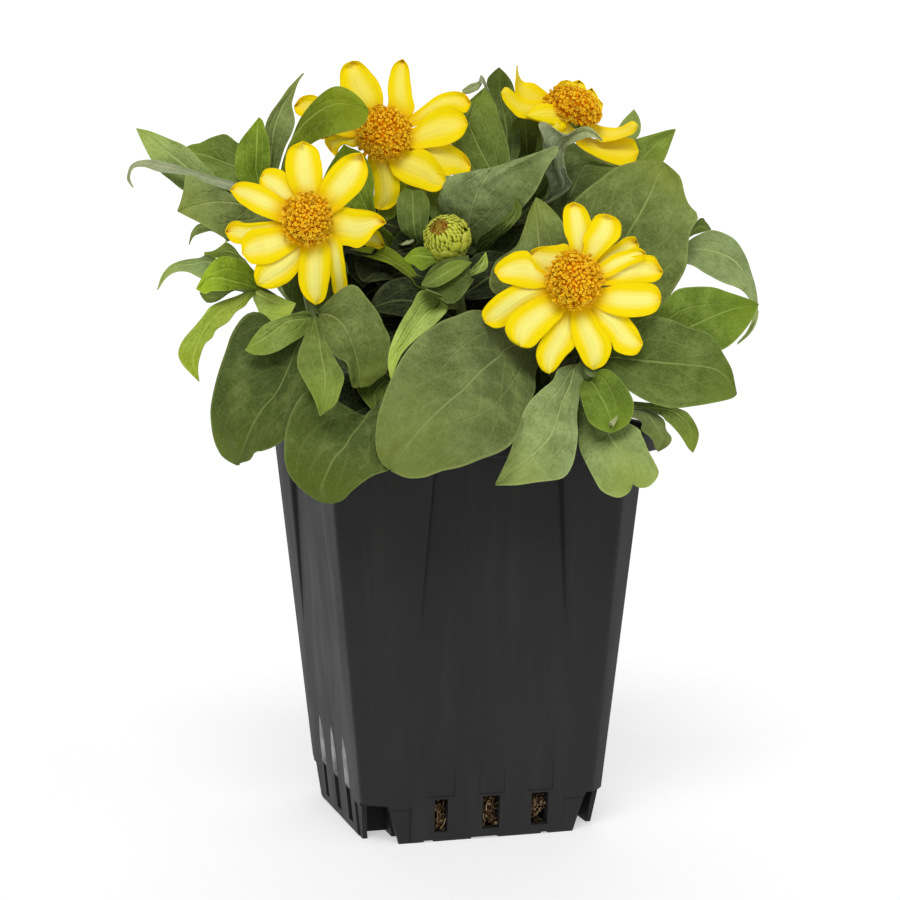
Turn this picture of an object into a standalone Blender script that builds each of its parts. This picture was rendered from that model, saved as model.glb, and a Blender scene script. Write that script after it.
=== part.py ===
"""A zinnia with yellow blooms, growing in a square black nursery pot.

Metres, +Z up. The origin is the middle of the pot's underside, and the pot's front side faces -Y.
The plant's places are given in millimetres, and mm() turns them into metres.
"""

import math
import random

import bmesh
import bpy
import numpy as np
from mathutils import Matrix, Vector

MM = 0.001
GAP = 0.0003  # left between pieces that touch

# The pot: a 108 mm square nursery pot, 127 mm tall
POT_HEIGHT = 0.127
FOOT_HALF = 0.0377  # half the width of a side at the bottom
SIDE_FLARE = 0.103  # how much that half width grows for each metre of height
CORNER_CUT = 0.0047
CORNER_FLARE = 0.042
SHOULDER = 0.0125  # below this height the corners are cut back, which leaves four skirts
FOOT_CUT = 0.010
SHOULDER_CUT = 0.0072
RIM_BAND = 0.0075
RIM_PROUD = 0.0035
WALL = 0.0015
FLOOR = 0.002
PANEL_FOOT = 0.058  # height where the sunken panel of a side begins
PANEL_HALF_FOOT = 0.0235
PANEL_HALF_TOP = 0.0195
PANEL_SINK = 0.002
SLOT_SPACING = 0.0147
SLOT_WIDTH = 0.005
SLOT_FOOT = 0.003
SLOT_TOP = 0.0135
ARCH_HALF = 0.0042
ARCH_TOP = 0.024
ARCH_SINK = 0.0005
ARCH_LAP = 0.001  # how far an arch's outline reaches into the slot below it

# The soil and the holes that the stems stand in
SOIL_TOP = 0.112
SOIL_BUMP = 0.0016
SOIL_SHEET = 0.06  # half the size of the rough sheet, which reaches past the pot
SOIL_CELLS = 9
HOLE_FOOT = 0.101
HOLE_TOP = 0.125
HOLE_SPARE = 0.0007
HOLE_SIDES = 6

# The foliage
LEAF_THICK = 0.0007
WAVES = 15  # radians of the wave in a leaf's edges, from its root to its tip
END_ROWS = 0.35  # how much closer a blade's rows stand near its ends, where its outline turns most
PETAL_THICK = 0.0007
STEM_SIDES = 1  # bevel resolution: six sides
STEM_STEP = 0.011

# The blooms, along their axis from the top of the stem
CUP_DEPTH = 0.0065
CUP_RADIUS = 0.0066
HUB_RADIUS = 0.0062
HUB_THICK = 0.0022
DISC_CORE = 0.84  # the dome that the florets stand out of, over the disc's own size
DISC_FOOT = 0.0012
DISC_FLORETS = 21
FLORET_LENGTH = 0.0026
FLORET_SUNK = 0.001
FLORET_RADIUS = 0.0022
FLORET_TIP = 0.0009
BUD_RADIUS = 0.0066
BUD_COVER = 1.72  # the height of the ball that scales cover, over its radius
BUD_SCALES = 21
SCALE_LENGTH = 0.0022
SCALE_SUNK = 0.0012
SCALE_RADIUS = 0.0021
SCALE_TIP = 0.0009
GOLDEN_TURN = math.radians(137.508)


def mm(*place):
    """A place in millimetres as a vector in metres."""
    return Vector(place) * MM


def facing(azimuth, elevation):
    """The direction that a surface looks in: azimuth 0 is the front, -Y, and 90 is the right, +X."""
    a, e = math.radians(azimuth), math.radians(elevation)
    return Vector((math.sin(a) * math.cos(e), -math.cos(a) * math.cos(e), math.sin(e)))


def leaf(height, path, width, face, fold=14, curl=0.0, skew=0.0, wave=0.0, shape=(0.6, 0.7)):
    """A leaf: the height on its stem where it grows, the places that its midrib then passes through to
    the tip, its width, and where its upper side faces. Millimetres and degrees."""
    return dict(height=height, path=path, width=width, face=face, fold=fold, curl=curl, skew=skew,
                wave=wave, shape=shape)


BROAD = (0.5, 0.45)  # the shape of a leaf whose tip is round

# Each leafy stem: the places that it passes through, its thickness at the foot and the top, its leaves
LEAFY_STEMS = {
    "stem_left_bloom": dict(
        route=[(-12, -5, 102), (-15, -8, 116), (-26, -20, 134), (-40, -16, 150), (-48, -12, 161),
               (-50, -9, 176), (-50, -5, 188)],
        radii=(2.0, 1.5),
        leaves=[
            leaf(136, [(-42, -53, 134), (-52, -64, 125), (-56, -65, 110)], 36, (-20, 25), 10, skew=0.2,
                 shape=BROAD),
            leaf(158, [(-67, -26, 138), (-74, -21, 117)], 34, (-45, 30), 5, wave=1.0, shape=(0.34, 0.42)),
            leaf(160, [(-59, -21, 156), (-71, -21, 151)], 12, (-20, 25)),
            leaf(161, [(-50, -25, 148), (-50, -30, 131)], 14.5, (-16, 10), shape=(0.85, 0.6)),
            leaf(161, [(-41, -25, 157), (-34, -28, 137)], 20, (-5, 8), 8, wave=0.6, shape=(0.5, 0.35)),
            leaf(146, [(-33, -20, 138), (-29, -20, 127)], 10, (0, 10)),
        ]),
    "stem_upper_bloom": dict(
        route=[(-2, 8, 102), (-3, 9, 116), (-7, 12, 142), (-14, 15, 174), (-17, 21, 199), (-18, 20, 215)],
        radii=(2.0, 1.5),
        leaves=[
            leaf(174, [(-26, 9, 187), (-31, 10, 201), (-32, 13, 213)], 16, (-16, 0)),
            leaf(172, [(-10, 9, 190), (-10, 15, 204)], 17, (0, 0)),
        ]),
    "stem_back_bloom": dict(
        route=[(7, 14, 102), (9, 15, 116), (18, 18, 151), (28, 22, 183), (34, 26, 205), (40, 25, 216),
               (45, 19, 220)],
        radii=(2.0, 1.5),
        leaves=[
            leaf(200, [(64, 27, 213), (70, 29, 227)], 9, (0, 0)),
            leaf(195, [(68, 20, 208), (82, 16, 220)], 16, (0, 10), shape=(0.7, 0.45)),
            leaf(190, [(42, 2, 205), (40, 0, 214), (46, -4, 218), (51, -8, 215)], 17, (0, 10)),
            leaf(196, [(35, 13, 210), (34, 14, 221)], 8, (-16, 0)),
        ]),
    "stem_right_bloom": dict(
        route=[(9, -10, 102), (12, -15, 116), (17, -25, 129), (27, -42, 141), (29, -46, 154),
               (25, -43, 169)],
        radii=(2.1, 1.6),
        leaves=[
            leaf(141, [(14, -62, 130), (-6, -64, 113)], 21, (-20, 25), skew=-0.4),
            leaf(137, [(31, -68, 127), (34, -77, 110)], 24, (-5, 25), 10, shape=(0.6, 0.35)),
            leaf(143, [(28, -63, 139), (31, -73, 125)], 18, (-10, 25), shape=(0.5, 0.4)),
            leaf(144, [(52, -54, 146), (75, -53, 137)], 26, (-10, 20), shape=(0.55, 0.5)),
            leaf(148, [(63, -44, 158), (89, -36, 164)], 24, (-10, 15)),
            leaf(136, [(51, -51, 134), (61, -48, 129), (63, -47, 119)], 8, (0, 40)),
            leaf(134, [(48, -59, 128), (52, -59, 121)], 12, (0, 30), wave=0.5),
        ]),
    "stem_bud": dict(
        route=[(-3, -11, 102), (-3, -12, 116), (0, -15, 137), (-2, -17, 160), (-4, -15, 174),
               (-4, -13, 179)],
        radii=(1.9, 1.5),
        leaves=[
            leaf(166, [(-8, -26, 170), (-18, -25, 170)], 12, (-16, 45)),
            leaf(170, [(-15, -20, 175), (-22, -19, 177)], 6, (-16, 30)),
            leaf(171, [(4, -20, 177), (8, -20, 184)], 5, (-16, 10)),
            leaf(163, [(-22, -31, 156), (-30, -38, 142)], 11, (-40, 10)),
            leaf(165, [(-22, -4, 177), (-33, 4, 182)], 9, (-16, 60)),
        ]),
    "stem_centre_shoot": dict(
        route=[(4, -1, 102), (5, 0, 116), (7, 4, 152), (10, 6, 180), (19, 9, 196), (24, 13, 209)],
        radii=(1.8, 1.2),
        leaves=[
            leaf(198, [(15, 18, 216), (16, 24, 234)], 22, (-16, 0), skew=0.15),
            leaf(206, [(29, 34, 224), (28, 40, 240)], 15, (-16, 0)),
            leaf(208, [(18, 28, 235), (11, 28, 231)], 4, (-16, 60)),
            leaf(180, [(14, -8, 201), (18, 10, 206)], 36, (-30, 35), 6, skew=0.2, shape=BROAD),
            leaf(176, [(12, -13, 188), (17, -11, 197)], 8, (-16, 0)),
        ]),
    "stem_left_upper_shoot": dict(
        route=[(-10, 16, 102), (-12, 18, 116), (-16, 24, 141), (-32, 26, 174), (-50, 25, 194),
               (-58, 23, 201)],
        radii=(1.8, 1.1),
        leaves=[
            leaf(199, [(-82, 31, 208), (-95, 38, 219)], 13, (-16, 20)),
            leaf(197, [(-77, 23, 205), (-89, 27, 208), (-95, 30, 209), (-98, 31, 204), (-96, 30, 200)],
                 4.5, (-16, 60)),
            leaf(198, [(-69, 36, 210), (-78, 45, 213)], 20, (-16, 30)),
            leaf(200, [(-58, 22, 212), (-56, 27, 222)], 11.5, (-16, 0)),
            leaf(198, [(-49, 25, 220), (-41, 31, 237)], 8.5, (-16, 0)),
            leaf(194, [(-43, 4, 221), (-27, -2, 224)], 17, (-16, 20), shape=(0.6, 0.4)),
            leaf(193, [(-73, 10, 195), (-85, 16, 193)], 19, (-20, 10), shape=(0.6, 0.3)),
            leaf(190, [(-75, 23, 188), (-79, 24, 185), (-80, 24, 182)], 4, (-16, 40)),
        ]),
    "stem_left_lower_shoot": dict(
        route=[(-17, 6, 102), (-19, 6, 116), (-26, 6, 134), (-42, 8, 155), (-54, 8, 164), (-60, 9, 168)],
        radii=(1.7, 1.2),
        leaves=[
            leaf(167, [(-70, 16, 177), (-81, 21, 177), (-87, 24, 175), (-90, 25, 168)], 6, (-16, 50)),
            leaf(166, [(-69, 20, 181), (-75, 24, 179)], 5, (-16, 40)),
            leaf(167, [(-72, -1, 173), (-80, 2, 172)], 13, (-16, 5), shape=(0.6, 0.4)),
            leaf(164, [(-71, 13, 166), (-77, 15, 166)], 5, (-16, -20)),
            leaf(166, [(-75, 1, 162), (-84, 1, 153), (-82, -1, 140)], 10, (-30, 30), wave=0.6),
            leaf(165, [(-60, -5, 162), (-53, -9, 163)], 10, (-16, 20), wave=0.5),
        ]),
    "stem_right_shoot": dict(
        route=[(15, 2, 102), (17, 0, 116), (27, -11, 147), (40, -18, 165), (56, -19, 173), (67, -18, 178)],
        radii=(1.9, 1.2),
        leaves=[
            leaf(155, [(-14, -64, 140), (-36, -77, 121)], 42, (-22, 35), 6, skew=0.1, wave=0.8,
                 shape=(0.7, 0.34)),
            leaf(160, [(19, -28, 178), (22, -21, 197)], 27, (-16, 0), shape=(0.4, 0.7)),
            leaf(166, [(49, -28, 186), (64, -20, 208)], 40, (-16, 5), 6, skew=-0.1, wave=0.8),
            leaf(176, [(78, -25, 180), (86, -28, 174), (91, -27, 164), (91, -27, 157), (86, -25, 151)],
                 15, (0, 40), shape=(0.5, 1.1)),
            leaf(177, [(78, -14, 187), (83, -12, 187)], 5, (0, 20)),
        ]),
}


# The shoots behind the blooms: their leaves follow one rule. Each level has its place up the shoot, from
# 0 to 1, and the turns of its leaves from the way that the shoot leans.
REAR_SHOOTS = {
    "stem_rear_left_shoot": dict(
        route=[(-12, 26, 102), (-16, 31, 116), (-32, 41, 146), (-44, 49, 176)], leans=-132, low=121),
    "stem_rear_middle_shoot": dict(
        route=[(1, 26, 102), (3, 34, 116), (5, 50, 150), (5, 58, 194)], leans=176, low=107),
    "stem_rear_right_shoot": dict(
        route=[(14, 24, 102), (20, 29, 116), (38, 39, 146), (54, 46, 178)], leans=128, low=121),
}
REAR_LEVELS = ((0.22, (-62, 62)), (0.45, (-6,)), (0.68, (-66, 66)), (0.97, (10, 190)))
REAR_LENGTH = 32
REAR_WIDTH = 20


def rear_leaves(low, top, leans):
    """The leaves of a rear shoot, above the height low. They are smaller and steeper towards its top."""
    leaves = []
    for part, turns in REAR_LEVELS:
        size = 1.06 - 0.4 * part
        for turn in turns:
            way = facing(leans + turn, 0) * REAR_LENGTH * size
            rise = Vector((0, 0, REAR_LENGTH * size * (0.25 + 0.3 * part)))
            one = leaf(low + (top - low) * part, [], REAR_WIDTH * size, (leans + turn, 66), 12, wave=0.6)
            leaves.append(dict(one, way=way, rise=rise))
    return leaves


for rear in REAR_SHOOTS.values():
    rear["radii"] = (1.8, 1.1)
    rear["leaves"] = rear_leaves(rear["low"], rear["route"][-1][2], rear["leans"])
LEAFY_STEMS.update(REAR_SHOOTS)

# Each bloom: the stem that carries it, where it faces, its disc's radius and height, and its petals. A
# petal has the clock angle that it points in (0 is right, 90 is up, seen from the front), its length,
# its width, and the angle that its tip bends back from the disc's plane. Millimetres and degrees.
BLOOMS = {
    "left": dict(stem="stem_left_bloom", face=(-2, 12), disc=(8.2, 5.5), petals=[
        (89, 25.5, 11, 5), (51, 27, 11.5, 8), (2, 25.5, 11.5, 10), (-9, 27, 5.5, 25), (-62, 25.5, 6.5, 12),
        (-87, 25.5, 9.5, 5), (-129, 24, 11, 5), (-158, 22, 10.5, 6), (-179, 23.5, 8.5, 22),
        (151, 25, 8.5, 16), (127, 20.5, 10.5, 10)]),
    "upper": dict(stem="stem_upper_bloom", face=(-14, 20), disc=(8.8, 6), petals=[
        (111, 28, 13, 5), (77, 28.5, 7, 12), (31, 31, 10.5, 7), (11, 27.5, 12.5, 3), (-17, 29, 12, 12),
        (-47, 25, 12, 8), (-91, 23, 9.5, 14), (-160, 19, 7.5, 22), (180, 21, 7.5, 18),
        (156, 29, 10.5, 12)]),
    "back": dict(stem="stem_back_bloom", face=(18, 58), disc=(9.2, 7.5), petals=[
        (170, 27, 11, -6), (140, 24, 7, -25), (93, 19, 8, 0), (64, 22, 9, 0), (38, 22, 8, 0),
        (8, 22, 8, 10), (-30, 23, 9, -8), (-42, 26, 11, 14), (-79, 18, 10, 14), (-115, 17, 9.5, 16),
        (-150, 22, 9.5, 10)]),
    "right": dict(stem="stem_right_bloom", face=(-14, 12), disc=(9.2, 5.5), petals=[
        (90, 26, 8.5, 6), (65, 24, 11, 4), (39, 25, 8.5, 14), (22, 26.5, 10, 5), (10, 28, 10, 9),
        (-11, 26.5, 11.5, 4), (-44, 27.5, 11.5, 6), (-79, 26.5, 12.5, 2), (-107, 27.5, 11.5, -3),
        (-133, 25.5, 11.5, -7), (-162, 28.5, 12, 4), (168, 24, 12, 4), (134, 19, 10, 14)]),
}
BUD_FACE = (-32, 40)


def clear_scene():
    for obj in list(bpy.data.objects):
        bpy.data.objects.remove(obj, do_unlink=True)


def collection(name):
    made = bpy.data.collections.new(name)
    bpy.context.scene.collection.children.link(made)
    return made


def material(name, colour, roughness, metallic=0.0):
    made = bpy.data.materials.new(name)
    made.use_nodes = True
    shader = made.node_tree.nodes["Principled BSDF"]
    shader.inputs["Base Color"].default_value = (*colour, 1)
    shader.inputs["Roughness"].default_value = roughness
    shader.inputs["Metallic"].default_value = metallic
    made.diffuse_color = (*colour, 1)
    return made


def place(name, bm, home):
    """An object of the mesh in bm, in the collection home."""
    mesh = bpy.data.meshes.new(name)
    bm.to_mesh(mesh)
    bm.free()
    obj = bpy.data.objects.new(name, mesh)
    home.objects.link(obj)
    return obj


def helper(name, bm, home):
    obj = place(name, bm, home)
    obj.hide_render = True
    obj.display_type = "WIRE"
    return obj


def combine(obj, tools, operation, solver="EXACT"):
    """Joins or cuts obj with every object of the collection tools, which is then removed."""
    modifier = obj.modifiers.new("combine", "BOOLEAN")
    modifier.operation = operation
    modifier.operand_type = "COLLECTION"
    modifier.collection = tools
    modifier.solver = solver
    bpy.context.view_layer.update()
    graph = bpy.context.evaluated_depsgraph_get()
    result = bpy.data.meshes.new_from_object(obj.evaluated_get(graph))
    obj.modifiers.remove(modifier)
    obj.data = result
    for tool in list(tools.objects):
        bpy.data.objects.remove(tool, do_unlink=True)
    bpy.data.collections.remove(tools)


def loft(bm, rings):
    """A closed solid through rings of equally many points, from the lowest to the highest. Its sides are
    triangles, so that two lofts inside one another bend alike."""
    rows = [[bm.verts.new(point) for point in ring] for ring in rings]
    count = len(rows[0])
    for below, above in zip(rows, rows[1:]):
        for i in range(count):
            j = (i + 1) % count
            bm.faces.new((below[i], below[j], above[j]))
            bm.faces.new((below[i], above[j], above[i]))
    bm.faces.new(rows[0][::-1])
    bm.faces.new(rows[-1])


def pot_half(z):
    return FOOT_HALF + SIDE_FLARE * z


def pot_ring(z, half, cut, sink=0.0, panel_half=0.02):
    """The pot's outline at height z: four sides with a panel sunk in each, and four cut corners."""
    corner = half - cut
    side = [(-corner, -half), (-panel_half, sink - half), (panel_half, sink - half), (corner, -half)]
    ring = []
    for _ in range(4):
        ring += [Vector((x, y, z)) for x, y in side]
        side = [(-y, x) for x, y in side]
    return ring


def pot_rings(inset, foot, top=None):
    """The rings of the pot's skin moved in by inset, from the height foot up to the rim band, or through
    it to the height top."""
    corner_inset = inset * (2 - math.sqrt(2))
    rim_foot = POT_HEIGHT - RIM_BAND + inset

    def ring(z, cut, sink=0.0, panel_half=PANEL_HALF_FOOT, proud=0.0):
        return pot_ring(z, pot_half(z) + proud - inset, cut - corner_inset, sink, panel_half)

    foot_cut = FOOT_CUT + (SHOULDER_CUT - FOOT_CUT) * foot / SHOULDER
    rings = [ring(foot, foot_cut), ring(SHOULDER, SHOULDER_CUT)]
    for z, sink, panel_half in ((SHOULDER, 0, PANEL_HALF_FOOT), (PANEL_FOOT, 0, PANEL_HALF_FOOT),
                                (rim_foot, PANEL_SINK, PANEL_HALF_TOP)):
        rings.append(ring(z, CORNER_CUT + CORNER_FLARE * z, sink, panel_half))
    if top:
        cut = CORNER_CUT + CORNER_FLARE * rim_foot
        rings.append(ring(rim_foot, cut, 0, PANEL_HALF_TOP, RIM_PROUD))
        rings.append(ring(top, cut, 0, PANEL_HALF_TOP, RIM_PROUD))
    return rings


def side_prism(bm, outline, turn, near, far):
    """A prism whose outline is drawn on the pot's front side, from depth near to far, turned to a side."""
    rows = [[(x, -depth, z) for x, z in outline] for depth in (near, far)]
    start = len(bm.verts)
    loft(bm, rows)
    bm.verts.ensure_lookup_table()
    bmesh.ops.rotate(bm, verts=bm.verts[start:], cent=(0, 0, 0), matrix=Matrix.Rotation(turn, 3, "Z"))


def build_pot(home):
    bm = bmesh.new()
    loft(bm, pot_rings(0, 0, POT_HEIGHT))
    pot = place("pot", bm, home)
    cutters = collection("pot_cutters")
    bm = bmesh.new()
    loft(bm, pot_rings(WALL, FLOOR, POT_HEIGHT + WALL))
    helper("cavity", bm, cutters)
    half = SLOT_WIDTH / 2
    arch_foot = SLOT_TOP - ARCH_LAP
    shallow = pot_half(ARCH_TOP / 2 + SLOT_TOP / 2) - ARCH_SINK
    for side in range(4):
        for step in (-1, 0, 1):
            x = step * SLOT_SPACING
            slot = [(x - half, SLOT_FOOT), (x + half, SLOT_FOOT), (x + half, SLOT_TOP), (x - half, SLOT_TOP)]
            bm = bmesh.new()
            side_prism(bm, slot, side * math.pi / 2, pot_half(0) - 3 * WALL, pot_half(SHOULDER) + WALL)
            helper("slot", bm, cutters)
            arch = [(x - ARCH_HALF, arch_foot), (x + ARCH_HALF, arch_foot),
                    (x + ARCH_HALF, (arch_foot + ARCH_TOP) / 2), (x, ARCH_TOP),
                    (x - ARCH_HALF, (arch_foot + ARCH_TOP) / 2)]
            bm = bmesh.new()
            side_prism(bm, arch, side * math.pi / 2, shallow, shallow + 3 * WALL)
            helper("arch", bm, cutters)
    for tool in cutters.objects:
        recalculate(tool)
    recalculate(pot)
    combine(pot, cutters, "DIFFERENCE")
    pot.data.materials.append(material("pot_black_plastic", (0.022, 0.022, 0.024), 0.42))
    return pot


def recalculate(obj):
    bm = bmesh.new()
    bm.from_mesh(obj.data)
    bmesh.ops.recalc_face_normals(bm, faces=bm.faces)
    bm.to_mesh(obj.data)
    bm.free()


def build_soil(home, rng):
    """The soil fills the pot. Its top is a rough sheet, and each stem has a plain hole to stand in."""
    bm = bmesh.new()
    loft(bm, pot_rings(WALL + GAP, FLOOR + GAP))
    soil = place("soil", bm, home)
    recalculate(soil)
    cutters = collection("soil_cutters")
    bm = bmesh.new()
    bmesh.ops.create_grid(bm, x_segments=SOIL_CELLS, y_segments=SOIL_CELLS, size=SOIL_SHEET)
    for vert in bm.verts:
        vert.co.z = SOIL_TOP + rng.uniform(-1, 1) * SOIL_BUMP
    bmesh.ops.triangulate(bm, faces=bm.faces, quad_method="FIXED")
    lid = bmesh.ops.extrude_face_region(bm, geom=bm.faces[:])
    for item in lid["geom"]:
        if isinstance(item, bmesh.types.BMVert):
            item.co.z = POT_HEIGHT
    helper("soil_top", bm, cutters)
    for stem in LEAFY_STEMS.values():
        radius = stem["radii"][0] * MM + HOLE_SPARE
        foot = mm(*stem["route"][0])
        above = mm(*stem["route"][1])
        slope = (above - foot) / (above.z - foot.z)
        bm = bmesh.new()
        rings = []
        for z in (HOLE_FOOT, HOLE_TOP):
            middle = foot + slope * (z - foot.z)
            rings.append([middle + Vector((math.cos(a), math.sin(a), 0)) * radius
                          for a in (math.tau * i / HOLE_SIDES for i in range(HOLE_SIDES))])
        loft(bm, rings)
        helper("hole", bm, cutters)
    for tool in cutters.objects:
        recalculate(tool)
    combine(soil, cutters, "DIFFERENCE")
    soil.data.materials.append(material("soil_brown_fibre", (0.06, 0.035, 0.02), 0.95))


def smooth_path(points, count):
    """count places, evenly spaced, on a smooth curve through the points."""
    p = np.array([tuple(point) for point in points], float)
    p = np.vstack([2 * p[0] - p[1], p, 2 * p[-1] - p[-2]])
    fine = []
    for a, b, c, d in zip(p, p[1:], p[2:], p[3:]):
        for t in np.linspace(0, 1, 16, endpoint=False):
            fine.append(b + ((c - a) * t + (2 * a - 5 * b + 4 * c - d) * t**2
                             + (3 * b - a - 3 * c + d) * t**3) / 2)
    fine = np.array(fine + [p[-2]])
    reach = np.concatenate([[0], np.cumsum(np.linalg.norm(np.diff(fine, axis=0), axis=1))])
    wanted = np.linspace(0, reach[-1], count)
    return np.stack([np.interp(wanted, reach, fine[:, k]) for k in range(3)], -1)


def half_width(s, shape):
    """A blade's half width over its greatest, s of the way from its root to its tip."""
    root, tip = shape
    peak = root / (root + tip)
    return (s / peak) ** root * ((1 - s) / (1 - peak)) ** tip


def blade(path, width, face, fold=14, curl=0.0, skew=0.0, wave=0.0, shape=(0.6, 0.7), least=0.0009):
    """The surface of a leaf or petal, as a function of s, 0 to 1 from root to tip, and t, -1 to 1
    across. path is in metres, and fold lifts the edges towards the side that faces."""
    line = smooth_path(path, 65)
    ahead = np.gradient(line, axis=0)
    ahead /= np.linalg.norm(ahead, axis=1, keepdims=True)
    up = np.array(face)[None] - (ahead @ np.array(face))[:, None] * ahead
    up /= np.linalg.norm(up, axis=1, keepdims=True)
    across = np.cross(ahead, up)
    lift = math.radians(fold)

    def spot(s, t):
        at = s * 64
        middle, side, out = (np.array([np.interp(at, np.arange(65), rows[:, k]) for k in range(3)])
                             for rows in (line, across, up))
        half = max(width / 2 * half_width(min(max(s, 1e-6), 1 - 1e-6), shape), least)
        reach = half * t * (1 + skew * (1 if t > 0 else -1))
        height = half * (abs(t) * math.sin(lift) + curl * t * t)
        height += wave * t * t * math.sin(WAVES * s + (1.6 if t > 0 else 0)) * 4 * s * (1 - s)
        return Vector(middle + side * reach * math.cos(lift) + out * height)

    return spot


def blade_object(name, spot, rows, columns, thickness, home):
    """A grid bent to the surface spot and thickened, split into triangles alike on both faces."""
    bm = bmesh.new()
    bmesh.ops.create_grid(bm, x_segments=columns, y_segments=rows, size=1)
    bmesh.ops.triangulate(bm, faces=bm.faces, quad_method="FIXED")
    for vert in bm.verts:
        s = (vert.co.y + 1) / 2
        s += END_ROWS * s * (1 - s) * (2 * s - 1)
        vert.co = spot(s, vert.co.x)
    obj = helper(name, bm, home)
    solid = obj.modifiers.new("thickness", "SOLIDIFY")
    solid.thickness = thickness
    solid.offset = 0
    return obj


def at_height(route, z):
    """The place on a rising route at the height z."""
    line = smooth_path(route, 200)
    return Vector([np.interp(z, line[:, 2], line[:, k]) for k in range(2)] + [z])


def leaf_spot(stem, one):
    """The surface of one leaf of a stem."""
    root = at_height([mm(*place) for place in stem["route"]], one["height"] * MM)
    if one["path"]:
        path = [root] + [mm(*place) for place in one["path"]]
    else:
        way, rise = one["way"] * MM, one["rise"] * MM
        path = [root, root + way * 0.55 + rise, root + way + rise * 0.7]
    return blade(path, one["width"] * MM, facing(*one["face"]), one["fold"], one["curl"], one["skew"],
                 one["wave"] * MM, one["shape"])


def leaf_cells(one):
    """How many cells a leaf has along and across it."""
    places = [Vector(place) for place in one["path"]]
    length = sum((b - a).length for a, b in zip(places, places[1:])) + 15
    return (6 if length > 32 or len(places) > 3 else 4), (4 if one["width"] > 23 else 2)


def tube(name, route, radii, home):
    """A stem as a mesh: a curve with a bevel and caps, thinner towards the top."""
    length = sum((b - a).length for a, b in zip(route, route[1:]))
    line = smooth_path(route, max(5, round(length / STEM_STEP)))
    curve = bpy.data.curves.new(name, "CURVE")
    curve.dimensions = "3D"
    curve.bevel_depth = 1
    curve.bevel_resolution = STEM_SIDES
    curve.use_fill_caps = True
    spline = curve.splines.new("POLY")
    spline.points.add(len(line) - 1)
    for i, (point, spot) in enumerate(zip(spline.points, line)):
        point.co = (*spot, 1)
        point.radius = radii[0] + (radii[1] - radii[0]) * i / (len(line) - 1)
    drawn = bpy.data.objects.new(name, curve)
    home.objects.link(drawn)
    bpy.context.view_layer.update()
    mesh = bpy.data.meshes.new_from_object(drawn.evaluated_get(bpy.context.evaluated_depsgraph_get()))
    bpy.data.objects.remove(drawn, do_unlink=True)
    bm = bmesh.new()
    bm.from_mesh(mesh)
    bpy.data.meshes.remove(mesh)
    bmesh.ops.remove_doubles(bm, verts=bm.verts, dist=1e-6)
    bmesh.ops.recalc_face_normals(bm, faces=bm.faces)
    return place(name, bm, home)


def cone_on(bm, foot, axis, depth, radius_foot, radius_top, sides):
    """A cone or frustum that stands on foot and points along axis."""
    turn = axis.to_track_quat("Z", "Y").to_matrix().to_4x4()
    middle = Matrix.Translation(foot + axis * depth / 2)
    bmesh.ops.create_cone(bm, cap_ends=True, segments=sides, radius1=radius_foot, radius2=radius_top,
                          depth=depth, matrix=middle @ turn)


def build_leafy_stem(name, home, leaf_material):
    stem = LEAFY_STEMS[name]
    route = [mm(*place) for place in stem["route"]]
    obj = tube(name, route, [radius * MM for radius in stem["radii"]], home)
    parts = collection(name + "_parts")
    for number, one in enumerate(stem["leaves"]):
        rows, columns = leaf_cells(one)
        blade_object(f"leaf_{number}", leaf_spot(stem, one), rows, columns, LEAF_THICK, parts)
    bloom = next((bloom for bloom in BLOOMS.values() if bloom["stem"] == name), None)
    if bloom:
        axis = facing(*bloom["face"])
        bm = bmesh.new()
        cone_on(bm, route[-1] - axis * CUP_DEPTH / 3, axis, CUP_DEPTH, stem["radii"][1] * MM, CUP_RADIUS, 10)
        helper("cup", bm, parts)
    combine(obj, parts, "UNION", "MANIFOLD")
    obj.data.materials.append(leaf_material)
    return obj


def bloom_base(bloom):
    """Where a bloom's hub begins: the top of the cup on its stem."""
    top = mm(*LEAFY_STEMS[bloom["stem"]]["route"][-1])
    return top + facing(*bloom["face"]) * (CUP_DEPTH * 2 / 3 + GAP)


def bloom_axes(bloom):
    """Right and up in the plane of a bloom, and the direction that it faces."""
    out = facing(*bloom["face"])
    right = Vector((0, 0, 1)).cross(out).normalized()
    return right, out.cross(right), out


def petal_spot(bloom, petal, layer):
    """The surface of one petal, in the bloom's own frame: its root is sunk in the hub."""
    angle, length, width, back = petal
    a = math.radians(angle)
    way = Vector((math.cos(a), math.sin(a), 0))
    height = HUB_THICK * (0.3 + 0.35 * layer)
    bend = math.tan(math.radians(back))
    path = []
    for part in (0.08, 0.4, 0.7, 1.0):
        reach = length * MM * part
        rise = 0.04 * length * MM * math.sin(math.pi * part)
        path.append(way * reach + Vector((0, 0, height + rise - bend * reach * part**1.5)))
    return blade(path, width * MM, (0, 0, 1), fold=-6, curl=0.12, shape=(0.5, 0.32), least=0.0018)


def build_rays(name, bloom, home, petal_material):
    bm = bmesh.new()
    cone_on(bm, Vector((0, 0, 0)), Vector((0, 0, 1)), HUB_THICK, HUB_RADIUS * 0.8, HUB_RADIUS, 12)
    obj = place(name, bm, home)
    parts = collection(name + "_parts")
    for number, petal in enumerate(bloom["petals"]):
        blade_object(f"petal_{number}", petal_spot(bloom, petal, number % 2), 4, 2, PETAL_THICK, parts)
    combine(obj, parts, "UNION", "MANIFOLD")
    obj.data.materials.append(petal_material)
    settle(obj, bloom, 0)
    return obj


def settle(obj, bloom, height):
    """Turns an object to its bloom's frame and sets it height above the bloom's base."""
    right, up, out = bloom_axes(bloom)
    turn = Matrix((right, up, out)).transposed()
    obj.matrix_world = Matrix.Translation(bloom_base(bloom) + out * height) @ turn.to_4x4()


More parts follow.
